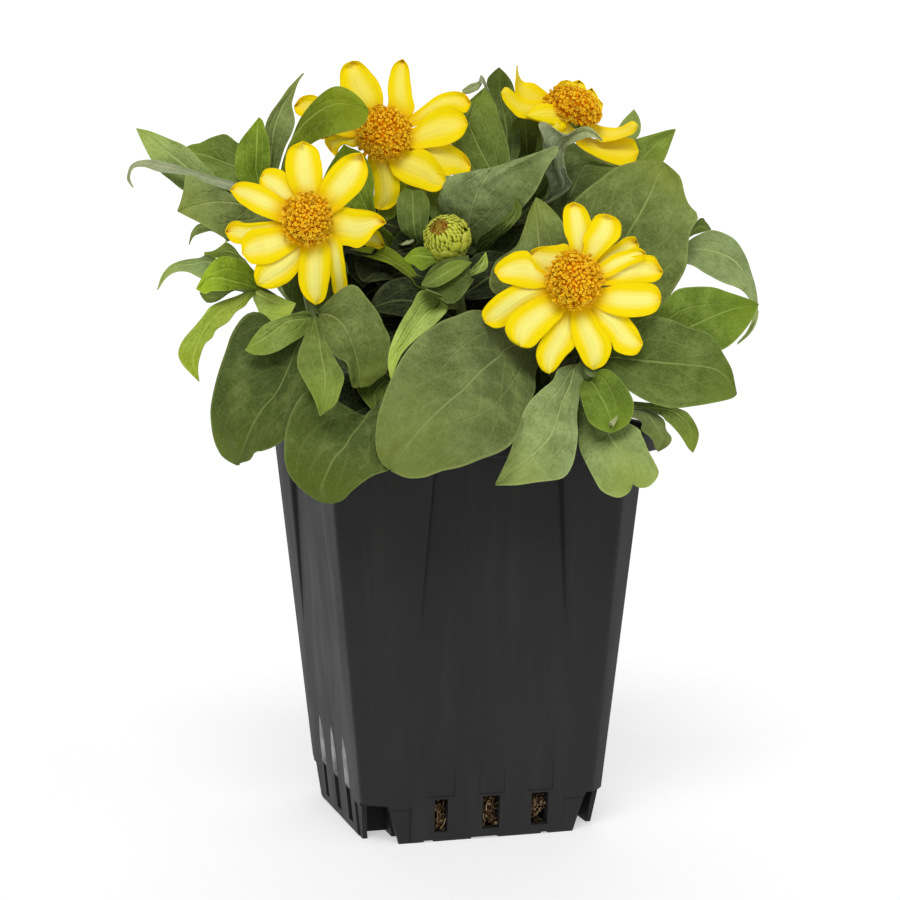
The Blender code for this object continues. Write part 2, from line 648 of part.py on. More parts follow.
def dome(bm, radius, height, sides=12):
    """A low dome on a short straight foot: its top is half an ellipsoid."""
    profile = [(radius * 0.9, 0), (radius, DISC_FOOT)]
    for step in range(1, 4):
        tilt = math.pi / 2 * step / 4
        profile.append((radius * math.cos(tilt), DISC_FOOT + height * math.sin(tilt)))
    turns = [math.tau * i / sides for i in range(sides)]
    loft(bm, [[Vector((r * math.cos(a), r * math.sin(a), z)) for a in turns] for r, z in profile])


def spiral_on_dome(count, radius, height):
    """Places on the dome in a spiral as a flower head has them, with the way that each points."""
    for index in range(count):
        part = (index + 0.5) / count
        tilt = math.acos(1 - part)
        angle = index * GOLDEN_TURN
        around = Vector((math.cos(angle), math.sin(angle), 0))
        spot = around * radius * math.sin(tilt) + Vector((0, 0, DISC_FOOT + height * math.cos(tilt)))
        out = (around * math.sin(tilt) / radius + Vector((0, 0, math.cos(tilt) / height))).normalized()
        yield spot, out


def build_disc(name, bloom, home, disc_material, rng):
    radius, height = (size * MM for size in bloom["disc"])
    core = DISC_CORE
    bm = bmesh.new()
    dome(bm, radius * core, height * core)
    obj = place(name, bm, home)
    parts = collection(name + "_parts")
    for spot, out in spiral_on_dome(DISC_FLORETS, radius * core, height * core):
        bm = bmesh.new()
        length = FLORET_LENGTH * rng.uniform(0.9, 1.15)
        cone_on(bm, spot - out * FLORET_SUNK, out, length, FLORET_RADIUS, FLORET_TIP, 4)
        helper("floret", bm, parts)
    for part in parts.objects:
        recalculate(part)
    combine(obj, parts, "UNION", "MANIFOLD")
    obj.data.materials.append(disc_material)
    settle(obj, bloom, HUB_THICK + 4 * GAP)
    return obj


def build_bud(home, bud_material, rng):
    """The closed bud: a ball covered with small scales, on top of its stem."""
    axis = facing(*BUD_FACE)
    top = mm(*LEAFY_STEMS["stem_bud"]["route"][-1])
    bm = bmesh.new()
    bmesh.ops.create_uvsphere(bm, u_segments=12, v_segments=8, radius=BUD_RADIUS)
    bud = place("bud", bm, home)
    parts = collection("bud_parts")
    for index in range(BUD_SCALES):
        z = 1 - BUD_COVER * (index + 0.5) / BUD_SCALES
        angle = index * GOLDEN_TURN
        out = Vector((math.cos(angle) * math.sqrt(1 - z * z), math.sin(angle) * math.sqrt(1 - z * z), z))
        bm = bmesh.new()
        length = SCALE_LENGTH * rng.uniform(0.9, 1.1)
        cone_on(bm, out * (BUD_RADIUS - SCALE_SUNK), out, length, SCALE_RADIUS, SCALE_TIP, 4)
        helper("scale", bm, parts)
    for part in parts.objects:
        recalculate(part)
    combine(bud, parts, "UNION", "MANIFOLD")
    bud.data.materials.append(bud_material)
    turn = axis.to_track_quat("Z", "Y").to_matrix().to_4x4()
    bud.matrix_world = Matrix.Translation(top + axis * (BUD_RADIUS + 5 * GAP)) @ turn
    return bud


def main():
    rng = random.Random(7)
    clear_scene()
    home = collection("potted_zinnia")
    leaf_green = material("leaf_green", (0.10, 0.19, 0.035), 0.6)
    petal_yellow = material("petal_yellow", (0.92, 0.75, 0.0), 0.5)
    disc_orange = material("disc_orange", (0.75, 0.27, 0.01), 0.7)
    bud_green = material("bud_green", (0.36, 0.45, 0.06), 0.6)
    build_pot(home)
    build_soil(home, rng)
    for name in LEAFY_STEMS:
        build_leafy_stem(name, home, leaf_green)
    for name, bloom in BLOOMS.items():
        build_rays(name + "_bloom_rays", bloom, home, petal_yellow)
        build_disc(name + "_bloom_disc", bloom, home, disc_orange, rng)
    build_bud(home, bud_green, rng)


if __name__ == "__main__":
    main()
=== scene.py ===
"""The looks of the potted zinnia: fine leaves, petals, florets, bud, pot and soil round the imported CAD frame.

Metres, +Z up, in the frame of the CAD. The plant's places are given in millimetres, as in the part's source,
and the outlines of the leaves and petals in pixels of the photograph, which is 900 pixels each way.
"""

import math

import bmesh
import bpy
import numpy as np
from mathutils import Matrix, Vector


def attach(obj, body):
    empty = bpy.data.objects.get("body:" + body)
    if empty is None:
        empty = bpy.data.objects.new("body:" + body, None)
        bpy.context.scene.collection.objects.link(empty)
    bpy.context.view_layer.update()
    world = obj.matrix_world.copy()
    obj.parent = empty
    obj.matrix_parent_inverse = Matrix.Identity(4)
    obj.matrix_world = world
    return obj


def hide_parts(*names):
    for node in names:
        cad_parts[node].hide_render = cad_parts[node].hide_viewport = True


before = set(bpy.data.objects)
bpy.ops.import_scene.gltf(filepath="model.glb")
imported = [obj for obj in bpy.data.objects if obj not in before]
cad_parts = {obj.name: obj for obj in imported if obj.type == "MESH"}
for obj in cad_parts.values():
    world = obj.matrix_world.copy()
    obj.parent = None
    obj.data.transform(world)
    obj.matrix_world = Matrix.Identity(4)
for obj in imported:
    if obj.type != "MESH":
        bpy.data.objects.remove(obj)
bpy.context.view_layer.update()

MM = 0.001
SEED = 11
GOLDEN_TURN = math.radians(137.508)

# The camera: it looks at the target from this azimuth and elevation
CAMERA_AZIMUTH, CAMERA_ELEVATION = -16.2, 5.8
CAMERA_DISTANCE = 0.734
CAMERA_TARGET = (-0.001, 0, 0.1167)
CAMERA_LENS, CAMERA_SENSOR = 92, 36
PICTURE = 900

# Wide soft lights: azimuth, elevation, how wide each is, in degrees, and its strength
LIGHTS = (("key", -22, 50, 32, 1.62), ("fill", 42, 30, 60, 0.4), ("back", 165, 50, 50, 0.8))
# How bright the sky lights the plant and how bright it shows, and the floor's glow and shade
SKY_GLOW, SKY_SEEN = 0.24, 1.1
FLOOR_GLOW, FLOOR_WHITE = 0.5, 0.6
FLOOR_REACH = 6

# The pot, as the CAD has it, with the middle and the width of each slot
POT_HEIGHT = 0.127
FOOT_HALF = 0.0377
SIDE_FLARE = 0.103
CORNER_CUT = 0.0047
CORNER_FLARE = 0.042
SHOULDER = 0.0125
FOOT_CUT = 0.010
SHOULDER_CUT = 0.0072
RIM_BAND = 0.0075
RIM_FOOT = POT_HEIGHT - RIM_BAND
RIM_PROUD = 0.0035
WALL = 0.0015
FLOOR = 0.002
PANEL_FOOT = 0.058
PANEL_HALF_FOOT = 0.0235
PANEL_HALF_TOP = 0.0195
PANEL_SINK = 0.002
SLOTS = ((-0.0150, 0.0042), (0.0010, 0.0054), (0.0167, 0.0054))
SLOT_FOOT = 0.003
SLOT_TOP = 0.0135
SOIL_TOP = 0.112

# Its finer forms. ARCH is a scoop above a slot: SINKS are its depths at the front, right, back and left, and
# the left ones are NARROWER. A nick of the lower edge has a middle and a half width. The ends of the skirts
# are thinner, and a recess lies behind each.
PANEL_STEP = 0.0005
CREASE = 0.0004
EDGE_SOFT = 0.0005
CORNER_ROUND = 0.0015
CORNER_PLACES = 4
ARCH_HALF = 0.0042
ARCH_TOP = 0.030
ARCH_SINKS = (0.0003, 0.0012, 0.0012, 0.0022)
ARCH_NARROWER = 0.72
SCOOP_GAP = 0.0007
SLOT_DEPTH = 0.009
THICK_FOOT = 0.003
INNER_CUT = 0.027
SKIRT_END = 0.0245
SKIRT_THINNER = 0.0005
SKIRT_THIN_TOP = SHOULDER - 1.3 * MM
NICKS = ((-0.0187, 0.0016), (-0.0007, 0.0044), (0.0187, 0.0012))
NICK_TOP = 0.0006
NICK_DEPTH = 0.004
RECESS = 0.020
RECESS_END = FOOT_HALF - 0.0016
RECESS_BACK = 0.028
RECESS_TOP = SHOULDER - 1.5 * MM
RECESS_WALL = 2.1 * MM
# The rings of the pot and the soil lie close together up to the first height and wide from the second
RINGS_CLOSE, RINGS_WIDE = ARCH_TOP + 9 * MM, ARCH_TOP + 14 * MM

# Thicknesses, and the blooms along their axis from the top of the stem
LEAF_THICK = 0.00045
PETAL_THICK = 0.0004
CUP_DEPTH = 0.0065
CUP_RADIUS = 0.0066
BRACT_WIDTH = 0.0039
HUB_THICK = 0.0022
GAP = 0.0003
BUD_RADIUS = 0.0066

# A leaf's midrib: how far it reaches to each side, how deep its groove is above and its keel below
RIB_REACH = 0.0009
RIB_GROOVE = 0.0002
RIB_KEEL = 0.0004
# How uneven a leaf is over its width, how much brighter than its tint, how fast wavy edges rise and fall in
# radians from root to tip, and how many pairs of side veins it has
LEAF_RIPPLE = 0.06
LEAF_BRIGHTER = (1.08, 1.22)
WAVES = 15
SIDE_VEINS = 5.5
# A petal: how fast its stripes follow each other in radians, how far it laps over its neighbours in pixels,
# and the width in millimetres below which it is slim, greenish and low
PETAL_STRIPES = 21
PETAL_LAP = 3.5
SLIM_PETAL = 6
# The places on the fine lines that lead blades, the rows of a leaf, and its columns, which are many where the
# leaf is wide in millimetres
LINE_PLACES = 65
FEWEST_ROWS, MOST_ROWS = 18, 44
FEW_COLUMNS, MANY_COLUMNS, WIDE_LEAF = 11, 19, 16
PETAL_ROWS, PETAL_COLUMNS = 26, 19
# A stem's sides and the length of its steps in millimetres
STEM_SIDES, STEM_STEP = 12, 1.5
# The number of the stem's material in a stem's mesh
STEM_SKIN = 2
# Crumbs and fibres on the soil, and in each slot
CRUMBS, FIBRES = 900, 420
SLOT_CRUMBS, SLOT_FIBRES = 26, 30


def facing(azimuth, elevation):
    """The direction that a surface looks in: azimuth 0 is the front, -Y, and 90 is the right, +X."""
    a, e = math.radians(azimuth), math.radians(elevation)
    return np.array((math.sin(a) * math.cos(e), -math.cos(a) * math.cos(e), math.sin(e)))


# The greens of the leaves, and at the end the dark ones of leaves inside the bush; the last two, nearly
# black, are painted shade.
TINTS = dict(
    mid=(0.108, 0.158, 0.027),
    fern=(0.148, 0.210, 0.033),
    moss=(0.190, 0.268, 0.042),
    grey=(0.130, 0.166, 0.048),
    silver=(0.208, 0.262, 0.073),
    frost=(0.265, 0.340, 0.118),
    ashen=(0.310, 0.350, 0.200),
    pale=(0.225, 0.298, 0.088),
    mint=(0.290, 0.385, 0.115),
    fresh=(0.130, 0.205, 0.018),
    leafy=(0.195, 0.295, 0.018),
    spring=(0.285, 0.415, 0.024),
    slate=(0.170, 0.217, 0.050),
    lime=(0.305, 0.405, 0.038),
    glow=(0.420, 0.550, 0.110),
    olive=(0.172, 0.230, 0.006),
    deep=(0.075, 0.108, 0.018),
    painted_shade_dark=(0.026, 0.038, 0.008),
    painted_shade_black=(0.011, 0.016, 0.004))


def leaf(height, path, width, face, fold=14, skew=0.0, wave=0.0, shape=(0.6, 0.7), tint="mid"):
    """A leaf as the CAD has it: the height at which it leaves its stem, the path of its midrib, its width,
    the azimuth and elevation that it faces, and its fold in degrees. tint is the name of its green."""
    return dict(height=height, path=path, width=width, face=face, fold=fold, skew=skew, wave=wave,
                shape=shape, tint=tint)


BROAD = (0.5, 0.45)

# The leafy stems that the photograph shows: the route of each, its radii at its foot and top, and its leaves
LEAFY_STEMS = {
    "stem_left_bloom": dict(
        route=[(-12, -5, 102), (-15, -8, 116), (-26, -20, 134), (-40, -16, 150), (-48, -12, 161),
               (-50, -9, 176), (-50, -5, 188)],
        radii=(2.0, 1.5),
        leaves=[
            leaf(136, [(-42, -53, 134), (-52, -64, 125), (-56, -65, 110)], 36, (-20, 25), 10, skew=0.2,
                 shape=BROAD, tint="deep"),
            leaf(158, [(-67, -26, 138), (-74, -21, 117)], 34, (-45, 30), 5, wave=1.0, shape=(0.34, 0.42),
                 tint="deep"),
            leaf(160, [(-59, -21, 156), (-71, -21, 151)], 12, (-20, 25), tint="moss"),
            leaf(161, [(-50, -38, 155), (-50, -62, 143), (-50, -69, 128)], 14.5, (-16, 10),
                 shape=(0.85, 0.6), tint="fern"),
            leaf(161, [(-41, -25, 157), (-34, -28, 137)], 20, (-5, 8), 8, wave=0.6, shape=(0.5, 0.35),
                 tint="slate"),
            # A nearly black leaf: painted shade among the leaves.
            leaf(146, [(-33, -20, 138), (-29, -20, 127)], 10, (0, 10), tint="painted_shade_black"),
        ]),
    "stem_upper_bloom": dict(
        route=[(-2, 8, 102), (-3, 9, 116), (-7, 12, 142), (-14, 15, 174), (-17, 21, 199), (-18, 20, 215)],
        radii=(2.0, 1.5),
        leaves=[
            leaf(174, [(-26, 9, 187), (-31, 10, 201), (-32, 13, 213)], 16, (-16, 0), tint="leafy"),
            leaf(172, [(-10, 15, 190), (-10, 21, 204)], 17, (0, 0), tint="lime"),
        ]),
    "stem_back_bloom": dict(
        route=[(7, 14, 102), (9, 15, 116), (18, 18, 151), (28, 22, 183), (34, 26, 205), (40, 25, 216),
               (45, 19, 220)],
        radii=(2.0, 1.5),
        leaves=[
            leaf(200, [(64, 27, 213), (70, 29, 227)], 9, (0, 0), tint="pale"),
            leaf(195, [(68, 20, 208), (82, 16, 220)], 16, (0, 10), shape=(0.7, 0.45), tint="moss"),
            leaf(190, [(42, 2, 205), (40, 0, 214), (46, -4, 218), (51, -8, 215)], 17, (0, 10), tint="ashen"),
            leaf(196, [(35, 13, 210), (34, 14, 221)], 8, (-16, 0), tint="deep"),
        ]),
    "stem_right_bloom": dict(
        route=[(9, -10, 102), (12, -15, 116), (17, -25, 129), (27, -42, 141), (29, -46, 154),
               (25, -43, 169)],
        radii=(2.1, 1.6),
        leaves=[
            leaf(147, [(14, -62, 130), (-6, -64, 113)], 21, (-20, 25), skew=-0.4, tint="frost"),
            leaf(137, [(31, -68, 127), (34, -77, 110)], 24, (-5, 25), 10, shape=(0.6, 0.35), tint="pale"),
            leaf(143, [(28, -63, 139), (31, -73, 125)], 18, (-10, 25), shape=(0.5, 0.4), tint="fresh"),
            leaf(144, [(52, -54, 146), (75, -53, 137)], 26, (-10, 20), shape=(0.55, 0.5), tint="mid"),
            leaf(148, [(63, -44, 158), (89, -36, 164)], 24, (-10, 15), tint="fresh"),
            leaf(136, [(51, -51, 134), (61, -48, 129), (63, -47, 119)], 8, (0, 40), tint="moss"),
            leaf(134, [(48, -59, 128), (52, -59, 121)], 12, (0, 30), wave=0.5, tint="grey"),
        ]),
    "stem_bud": dict(
        route=[(-3, -11, 102), (-3, -12, 116), (0, -15, 137), (-2, -17, 160), (-4, -15, 174),
               (-4, -13, 179)],
        radii=(1.9, 1.5),
        leaves=[
            leaf(166, [(-8, -26, 170), (-18, -25, 170)], 12, (-16, 45), tint="deep"),
            leaf(170, [(-15, -20, 175), (-22, -19, 177)], 6, (-16, 30), tint="leafy"),
            leaf(171, [(4, -20, 177), (8, -20, 184)], 5, (-16, 10), tint="glow"),
            leaf(163, [(-22, -31, 156), (-30, -38, 142)], 11, (-40, 10), tint="glow"),
            leaf(165, [(-22, -4, 177), (-33, 4, 182)], 9, (-16, 60), tint="olive"),
        ]),
    "stem_centre_shoot": dict(
        route=[(4, -1, 102), (5, 0, 116), (7, 4, 152), (10, 6, 180), (19, 9, 196), (24, 13, 209)],
        radii=(1.8, 1.2),
        leaves=[
            leaf(198, [(15, 18, 216), (16, 24, 234)], 22, (-16, 0), skew=0.15, tint="fern"),
            leaf(206, [(29, 34, 224), (28, 40, 240)], 15, (-16, 0), tint="deep"),
            leaf(208, [(18, 28, 235), (11, 28, 231)], 4, (-16, 60), tint="ashen"),
            leaf(180, [(14, -8, 201), (18, 10, 206)], 36, (-30, 35), 6, skew=0.2, shape=BROAD, tint="frost"),
            leaf(176, [(12, -13, 188), (17, -11, 197)], 8, (-16, 0), tint="mid"),
        ]),
    "stem_left_upper_shoot": dict(
        route=[(-10, 16, 102), (-12, 18, 116), (-16, 24, 141), (-32, 26, 174), (-50, 25, 194),
               (-58, 23, 201)],
        radii=(1.8, 1.1),
        leaves=[
            leaf(199, [(-82, 31, 208), (-95, 38, 219)], 13, (-16, 20), tint="mint"),
            leaf(197, [(-77, 23, 205), (-89, 27, 208), (-95, 30, 209), (-98, 31, 204), (-96, 30, 200)],
                 4.5, (-16, 60), tint="ashen"),
            leaf(198, [(-69, 36, 210), (-78, 45, 213)], 20, (-16, 30), tint="moss"),
            leaf(200, [(-58, 22, 212), (-56, 27, 222)], 11.5, (-16, 0), tint="leafy"),
            leaf(198, [(-49, 25, 220), (-41, 31, 237)], 8.5, (-16, 0), tint="silver"),
            leaf(194, [(-43, 4, 221), (-27, -2, 224)], 17, (-16, 20), shape=(0.6, 0.4), tint="olive"),
            leaf(193, [(-73, 10, 195), (-85, 16, 193)], 19, (-20, 10), shape=(0.6, 0.3), tint="silver"),
            leaf(190, [(-75, 23, 188), (-79, 24, 185), (-80, 24, 182)], 4, (-16, 40), tint="pale"),
        ]),
    "stem_left_lower_shoot": dict(
        route=[(-17, 6, 102), (-19, 6, 116), (-26, 6, 134), (-42, 8, 155), (-54, 8, 164), (-60, 9, 168)],
        radii=(1.7, 1.2),
        leaves=[
            leaf(167, [(-70, 16, 177), (-81, 21, 177), (-87, 24, 175), (-90, 25, 168)], 6, (-16, 50),
                 tint="mint"),
            leaf(166, [(-69, 20, 181), (-75, 24, 179)], 5, (-16, 40), tint="glow"),
            leaf(167, [(-72, -1, 173), (-80, 2, 172)], 13, (-16, 5), shape=(0.6, 0.4), tint="spring"),
            leaf(164, [(-71, 13, 166), (-77, 15, 166)], 5, (-16, -20), tint="mid"),
            leaf(166, [(-75, 1, 162), (-84, 1, 153), (-82, -1, 140)], 10, (-30, 30), wave=0.6, tint="lime"),
            leaf(165, [(-60, -5, 162), (-53, -9, 163)], 10, (-16, 20), wave=0.5, tint="glow"),
        ]),
    "stem_right_shoot": dict(
        route=[(15, 2, 102), (17, 0, 116), (27, -11, 147), (40, -18, 165), (56, -19, 173), (67, -18, 178)],
        radii=(1.9, 1.2),
        leaves=[
            leaf(155, [(-14, -64, 140), (-36, -77, 121)], 42, (-22, 35), 6, skew=0.1, wave=0.8,
                 shape=(0.7, 0.34), tint="grey"),
            leaf(160, [(19, -28, 178), (22, -21, 197)], 27, (-16, 0), shape=(0.4, 0.7), tint="silver"),
            leaf(166, [(49, -28, 186), (64, -20, 208)], 40, (-16, 5), 6, skew=-0.1, wave=0.8, tint="slate"),
            leaf(176, [(78, -25, 180), (86, -28, 174), (91, -27, 164), (91, -27, 157), (86, -25, 151)],
                 15, (0, 40), shape=(0.5, 1.1), tint="frost"),
            leaf(177, [(78, -14, 187), (83, -12, 187)], 5, (0, 20), tint="mid"),
        ]),
}

# The shoots behind the blooms: the route of each, the azimuth that it leans to, and where its leaves begin
REAR_SHOOTS = {
    "stem_rear_left_shoot": dict(
        route=[(-12, 26, 102), (-16, 31, 116), (-32, 41, 146), (-44, 49, 176)], leans=-132, low=121),
    "stem_rear_middle_shoot": dict(
        route=[(1, 26, 102), (3, 34, 116), (5, 50, 150), (5, 58, 194)], leans=176, low=107),
    "stem_rear_right_shoot": dict(
        route=[(14, 24, 102), (20, 29, 116), (38, 39, 146), (54, 46, 178)], leans=128, low=121),
}
# Their leaves: how far up each level stands with the turns of its leaves, and the size of the leaves
REAR_LEVELS = ((0.22, (-62, 62)), (0.45, (-6,)), (0.68, (-66, 66)), (0.97, (10, 190)))
REAR_LENGTH = 32
REAR_WIDTH = 20
REAR_TINTS = ("deep", "grey", "moss", "pale")

# The leaves low down among the stems, darkened as painted shade inside the bush: their heights, their size,
# and how far they may reach out from the middle of the bush, which is less at the front for the higher ones.
# Those that end behind INNER_LIT are dark green, the others nearly black. Where a stem stands in front of
# INNER_FOREMOST it has none, and its top is bare, further down under a bloom and on the centre shoot.
INNER_HEIGHTS = (118, 126, 134, 142, 150, 158, 166, 174, 182)
INNER_LENGTH, INNER_WIDTH = 29, 18
INNER_RISE = 7.0
INNER_MIDDLE = (2, 10, 0)
INNER_REACH = (34, 30, 50)
INNER_STEP_BACK = 0.25
INNER_LIT = 22
INNER_FOREMOST = -22
BARE_TOP, BARE_TOP_BLOOM = 12, 34
# How far they turn from stem to stem and from level to level, in degrees
STEM_TURN, LEVEL_TURN = 37, 47


def out_and_up(height, way, rise, width, face, **looks):
    """A leaf that grows out and up from its stem in one arch."""
    return dict(leaf(height, [], width, face, 12, **looks), way=way, rise=rise)


def rear_leaves(low, top, leans):
    """The leaves of a rear shoot, as the CAD has them."""
    leaves = []
    for (part, turns), tint in zip(REAR_LEVELS, REAR_TINTS):
        size = 1.06 - 0.4 * part
        for turn in turns:
            way = facing(leans + turn, 0) * REAR_LENGTH * size
            rise = np.array((0, 0, REAR_LENGTH * size * (0.25 + 0.3 * part)))
            leaves.append(out_and_up(low + (top - low) * part, way, rise, REAR_WIDTH * size,
                                     (leans + turn, 66), wave=0.6, tint=tint))
    return leaves


for rear in REAR_SHOOTS.values():
    rear["radii"] = (1.8, 1.1)
    rear["leaves"] = rear_leaves(rear["low"], rear["route"][-1][2], rear["leans"])
LEAFY_STEMS.update(REAR_SHOOTS)

# Small leaves that only the looks have: the stems that they grow on, the leaves as above, and for some the
# two edges that they fill, as in the outlines below. The nearly black ones are painted shade: dark leaves set
# where the bush lies in shade.
SMALL_LEAVES = (
    ("stem_back_bloom", leaf(190, [(40, 10, 197), (48, 4, 206)], 18, (-16, 10), tint="grey"),
     ([(538, 230), (544, 205), (550, 180), (557, 160), (566, 139), (585, 151), (602, 160), (616, 167)],
      [(580, 230), (592, 210), (606, 187), (614, 177), (616, 167)])),
    ("stem_back_bloom", leaf(190, [(31, 27, 208), (33, 28, 222)], 22, (-16, 0), tint="deep"),
     ([(520, 190), (508, 165), (507, 140), (513, 122), (524, 114)],
      [(546, 195), (549, 170), (548, 150), (544, 130), (537, 118), (524, 114)])),
    ("stem_upper_bloom", leaf(176, [(-5, 10, 189), (-3.5, 14, 201)], 5, (-16, 0), tint="fern"),
     ([(430, 225), (428, 212), (428, 198), (436, 183)], [(443, 225), (443, 212), (445, 198), (436, 183)])),
    ("stem_upper_bloom", leaf(176, [(-14, 0, 186), (-13, 11, 199)], 12, (-16, 0), tint="mid"),
     ([(411, 242), (401, 230), (397, 214), (398, 197), (412, 181)],
      [(423, 242), (427, 230), (429, 214), (428, 198), (412, 181)])),
    ("stem_upper_bloom", leaf(174, [(-16, 20, 184), (-17, 20, 196)], 12, (-16, 0), tint="painted_shade_dark"),
     ([(360, 245), (363, 218), (371, 203), (385, 195)], [(396, 245), (393, 222), (390, 207), (385, 195)])),
    ("stem_upper_bloom", leaf(174, [(-2, 16, 184), (2, 18, 196)], 12, (-16, 0), tint="painted_shade_dark"),
     ([(420, 245), (420, 215), (427, 202), (440, 195)], [(452, 245), (456, 222), (451, 206), (440, 195)])),
    ("stem_left_bloom", leaf(168, [(-52, -2, 164), (-52, 2, 158)], 14, (-16, 0), tint="deep"),
     ([(290, 262), (282, 285), (290, 300), (310, 318)], [(345, 262), (345, 285), (335, 305), (310, 318)])),
    ("stem_left_bloom", leaf(146, [(-33, -20, 138), (-38, -22, 130)], 20, (-16, 10), tint="painted_shade_black"),
     ([(385, 376), (362, 376), (342, 384), (334, 398), (350, 425)],
      [(396, 425), (385, 436), (365, 438), (350, 425)])),
    ("stem_left_bloom", leaf(148, [(-30, -24, 138), (-30, -26, 128)], 8, (-16, 10), tint="fern"),
     ([(385, 372), (358, 386), (362, 398), (370, 408), (379, 420)],
      [(394, 380), (392, 395), (387, 408), (379, 420)])),
    ("stem_bud", leaf(164, [(-7, -30, 168), (4, -32, 176)], 8, (-16, 30), tint="fern"),
     ([(423, 286), (432, 274), (445, 264), (458, 260), (472, 262)],
      [(424, 288), (437, 287), (449, 281), (461, 273), (472, 262)])),
    ("stem_right_bloom", leaf(137, [(20, -34, 128), (18, -36, 120)], 16, (-16, 10), tint="painted_shade_black"),
     ([(528, 350), (528, 380), (534, 400), (545, 412)], [(580, 352), (576, 380), (562, 402), (545, 412)])),
    ("stem_right_shoot", leaf(138, [(30, -22, 141), (42, -28, 135)], 24, (-16, 20), tint="painted_shade_dark")),
    ("stem_right_shoot", leaf(132, [(27, -22, 134), (34, -32, 126)], 24, (-16, 20), tint="painted_shade_black")),
    ("stem_centre_shoot", leaf(176, [(18, 4, 186), (27, 2, 195)], 20, (-16, 0), tint="painted_shade_dark")),
    ("stem_centre_shoot", leaf(168, [(16, 6, 176), (26, 6, 184)], 22, (-16, 0), tint="painted_shade_black")),
    ("stem_upper_bloom", leaf(160, [(-22, 17, 166), (-34, 18, 177)], 24, (-16, 0), tint="painted_shade_dark")),
    ("stem_upper_bloom", leaf(150, [(-20, 14, 156), (-34, 15, 162)], 26, (-16, 10), tint="painted_shade_black")),
    ("stem_upper_bloom", leaf(138, [(-18, 10, 146), (-32, 8, 150)], 26, (-16, 10), tint="painted_shade_black")),
    ("stem_upper_bloom", leaf(152, [(-2, 12, 162), (4, 12, 172)], 24, (-16, 0), tint="painted_shade_black")),
    ("stem_upper_bloom", leaf(181, [(-15, -3.5, 183), (-18, -4, 182)], 4, (-16, 40), tint="ashen")),
    ("stem_right_bloom", leaf(141, [(28, -60, 128), (27.3, -72, 130.6), (29.3, -71, 132.8)], 4, (-16, 10),
                              tint="ashen")),
)
# The stub of a cut shoot on the right bloom's stem: its route and its two radii
CUT_STUB_RADII = (2.4, 2.2)
CUT_STUB = [(27, -44, 139), (27, -47.5, 140.6), (27.8, -51.5, 143.8), (27.7, -53.5, 145)]

# The blooms: the stem that bears each, the azimuth and elevation that it faces, the radius and height of its
# disc and how far the disc is moved, how creamy it is, and for each petal its angle, length, width and how
# many degrees it bends back
BLOOMS = {
    "left": dict(
        stem="stem_left_bloom", face=(-2, 12), disc=(8.2, 5.5),
        petals=[(89, 25.5, 11, 5), (51, 27, 11.5, 8), (2, 25.5, 11.5, 10), (-9, 27, 5.5, 25),
                (-62, 25.5, 6.5, 12), (-87, 25.5, 9.5, 5), (-129, 24, 11, 5), (-158, 22, 10.5, 6),
                (-179, 23.5, 8.5, 22), (151, 25, 8.5, 16), (127, 20.5, 10.5, 10)]),
    "upper": dict(
        stem="stem_upper_bloom", face=(-14, 20), disc=(9.4, 6.5), shift=(0.3, 0, -1.2), creamy=0.5,
        petals=[(111, 28, 13, 5), (77, 28.5, 7, 12), (31, 31, 10.5, 7), (11, 27.5, 12.5, 3),
                (-17, 29, 12, 12), (-47, 25, 12, 8), (-91, 23, 9.5, 14), (-160, 19, 7.5, 22),
                (180, 21, 7.5, 18), (156, 29, 10.5, 12)]),
    "back": dict(
        stem="stem_back_bloom", face=(18, 58), disc=(10.2, 8.2), shift=(-1.8, 0.5, -2.4), creamy=0.25,
        petals=[(170, 27, 11, -6), (140, 24, 7, -25), (93, 19, 8, 0), (64, 22, 9, 0), (38, 22, 8, 0),
                (8, 22, 8, 10), (-30, 23, 9, -8), (-42, 26, 11, 14), (-79, 18, 10, 14),
                (-115, 17, 9.5, 16), (-150, 22, 9.5, 10)]),
    "right": dict(
        stem="stem_right_bloom", face=(-14, 12), disc=(8.7, 6.5), shift=(-0.4, 0, 1.0),
        petals=[(90, 26, 8.5, 6), (65, 24, 11, 4), (39, 25, 8.5, 14), (22, 26.5, 10, 5), (10, 28, 10, 9),
                (-11, 26.5, 11.5, 4), (-44, 27.5, 11.5, 6), (-79, 26.5, 12.5, 2), (-107, 27.5, 11.5, -3),
                (-133, 25.5, 11.5, -7), (-162, 28.5, 12, 4), (168, 24, 12, 4), (134, 19, 10, 14)]),
}
# The florets of a disc, the size of the core that they stand on beside the dome's, and how unevenly they lean
FLORETS = 360
DISC_CORE = 0.78
FLORET_LEAN = 0.24

# The azimuth and elevation that the bud leans to from its stem, and those that its crown faces
BUD_FACE = (-32, 40)
BUD_CROWN = (-43, 34)
# The rows of the bud's scales: how far from its crown in degrees, how many, their length and width in
# millimetres, their shape, and how brown they are
BUD_ROWS = tuple((tilt, count, 1.5, 1.0, (0.4, 0.5), 1.0)
                 for tilt, count in ((4, 3), (11, 9), (19, 14), (26, 19)))
BUD_ROWS += tuple((tilt, count, 2.4, 1.5, (0.3, 0.7), 0.0)
                  for tilt, count in ((35, 18), (44, 21), (53, 23), (62, 24), (71, 24)))
BUD_ROWS += tuple((tilt, count, 5.0, 4.6, (0.4, 0.3), 0.0)
                  for tilt, count in ((86, 10), (103, 9), (122, 9), (141, 7)))

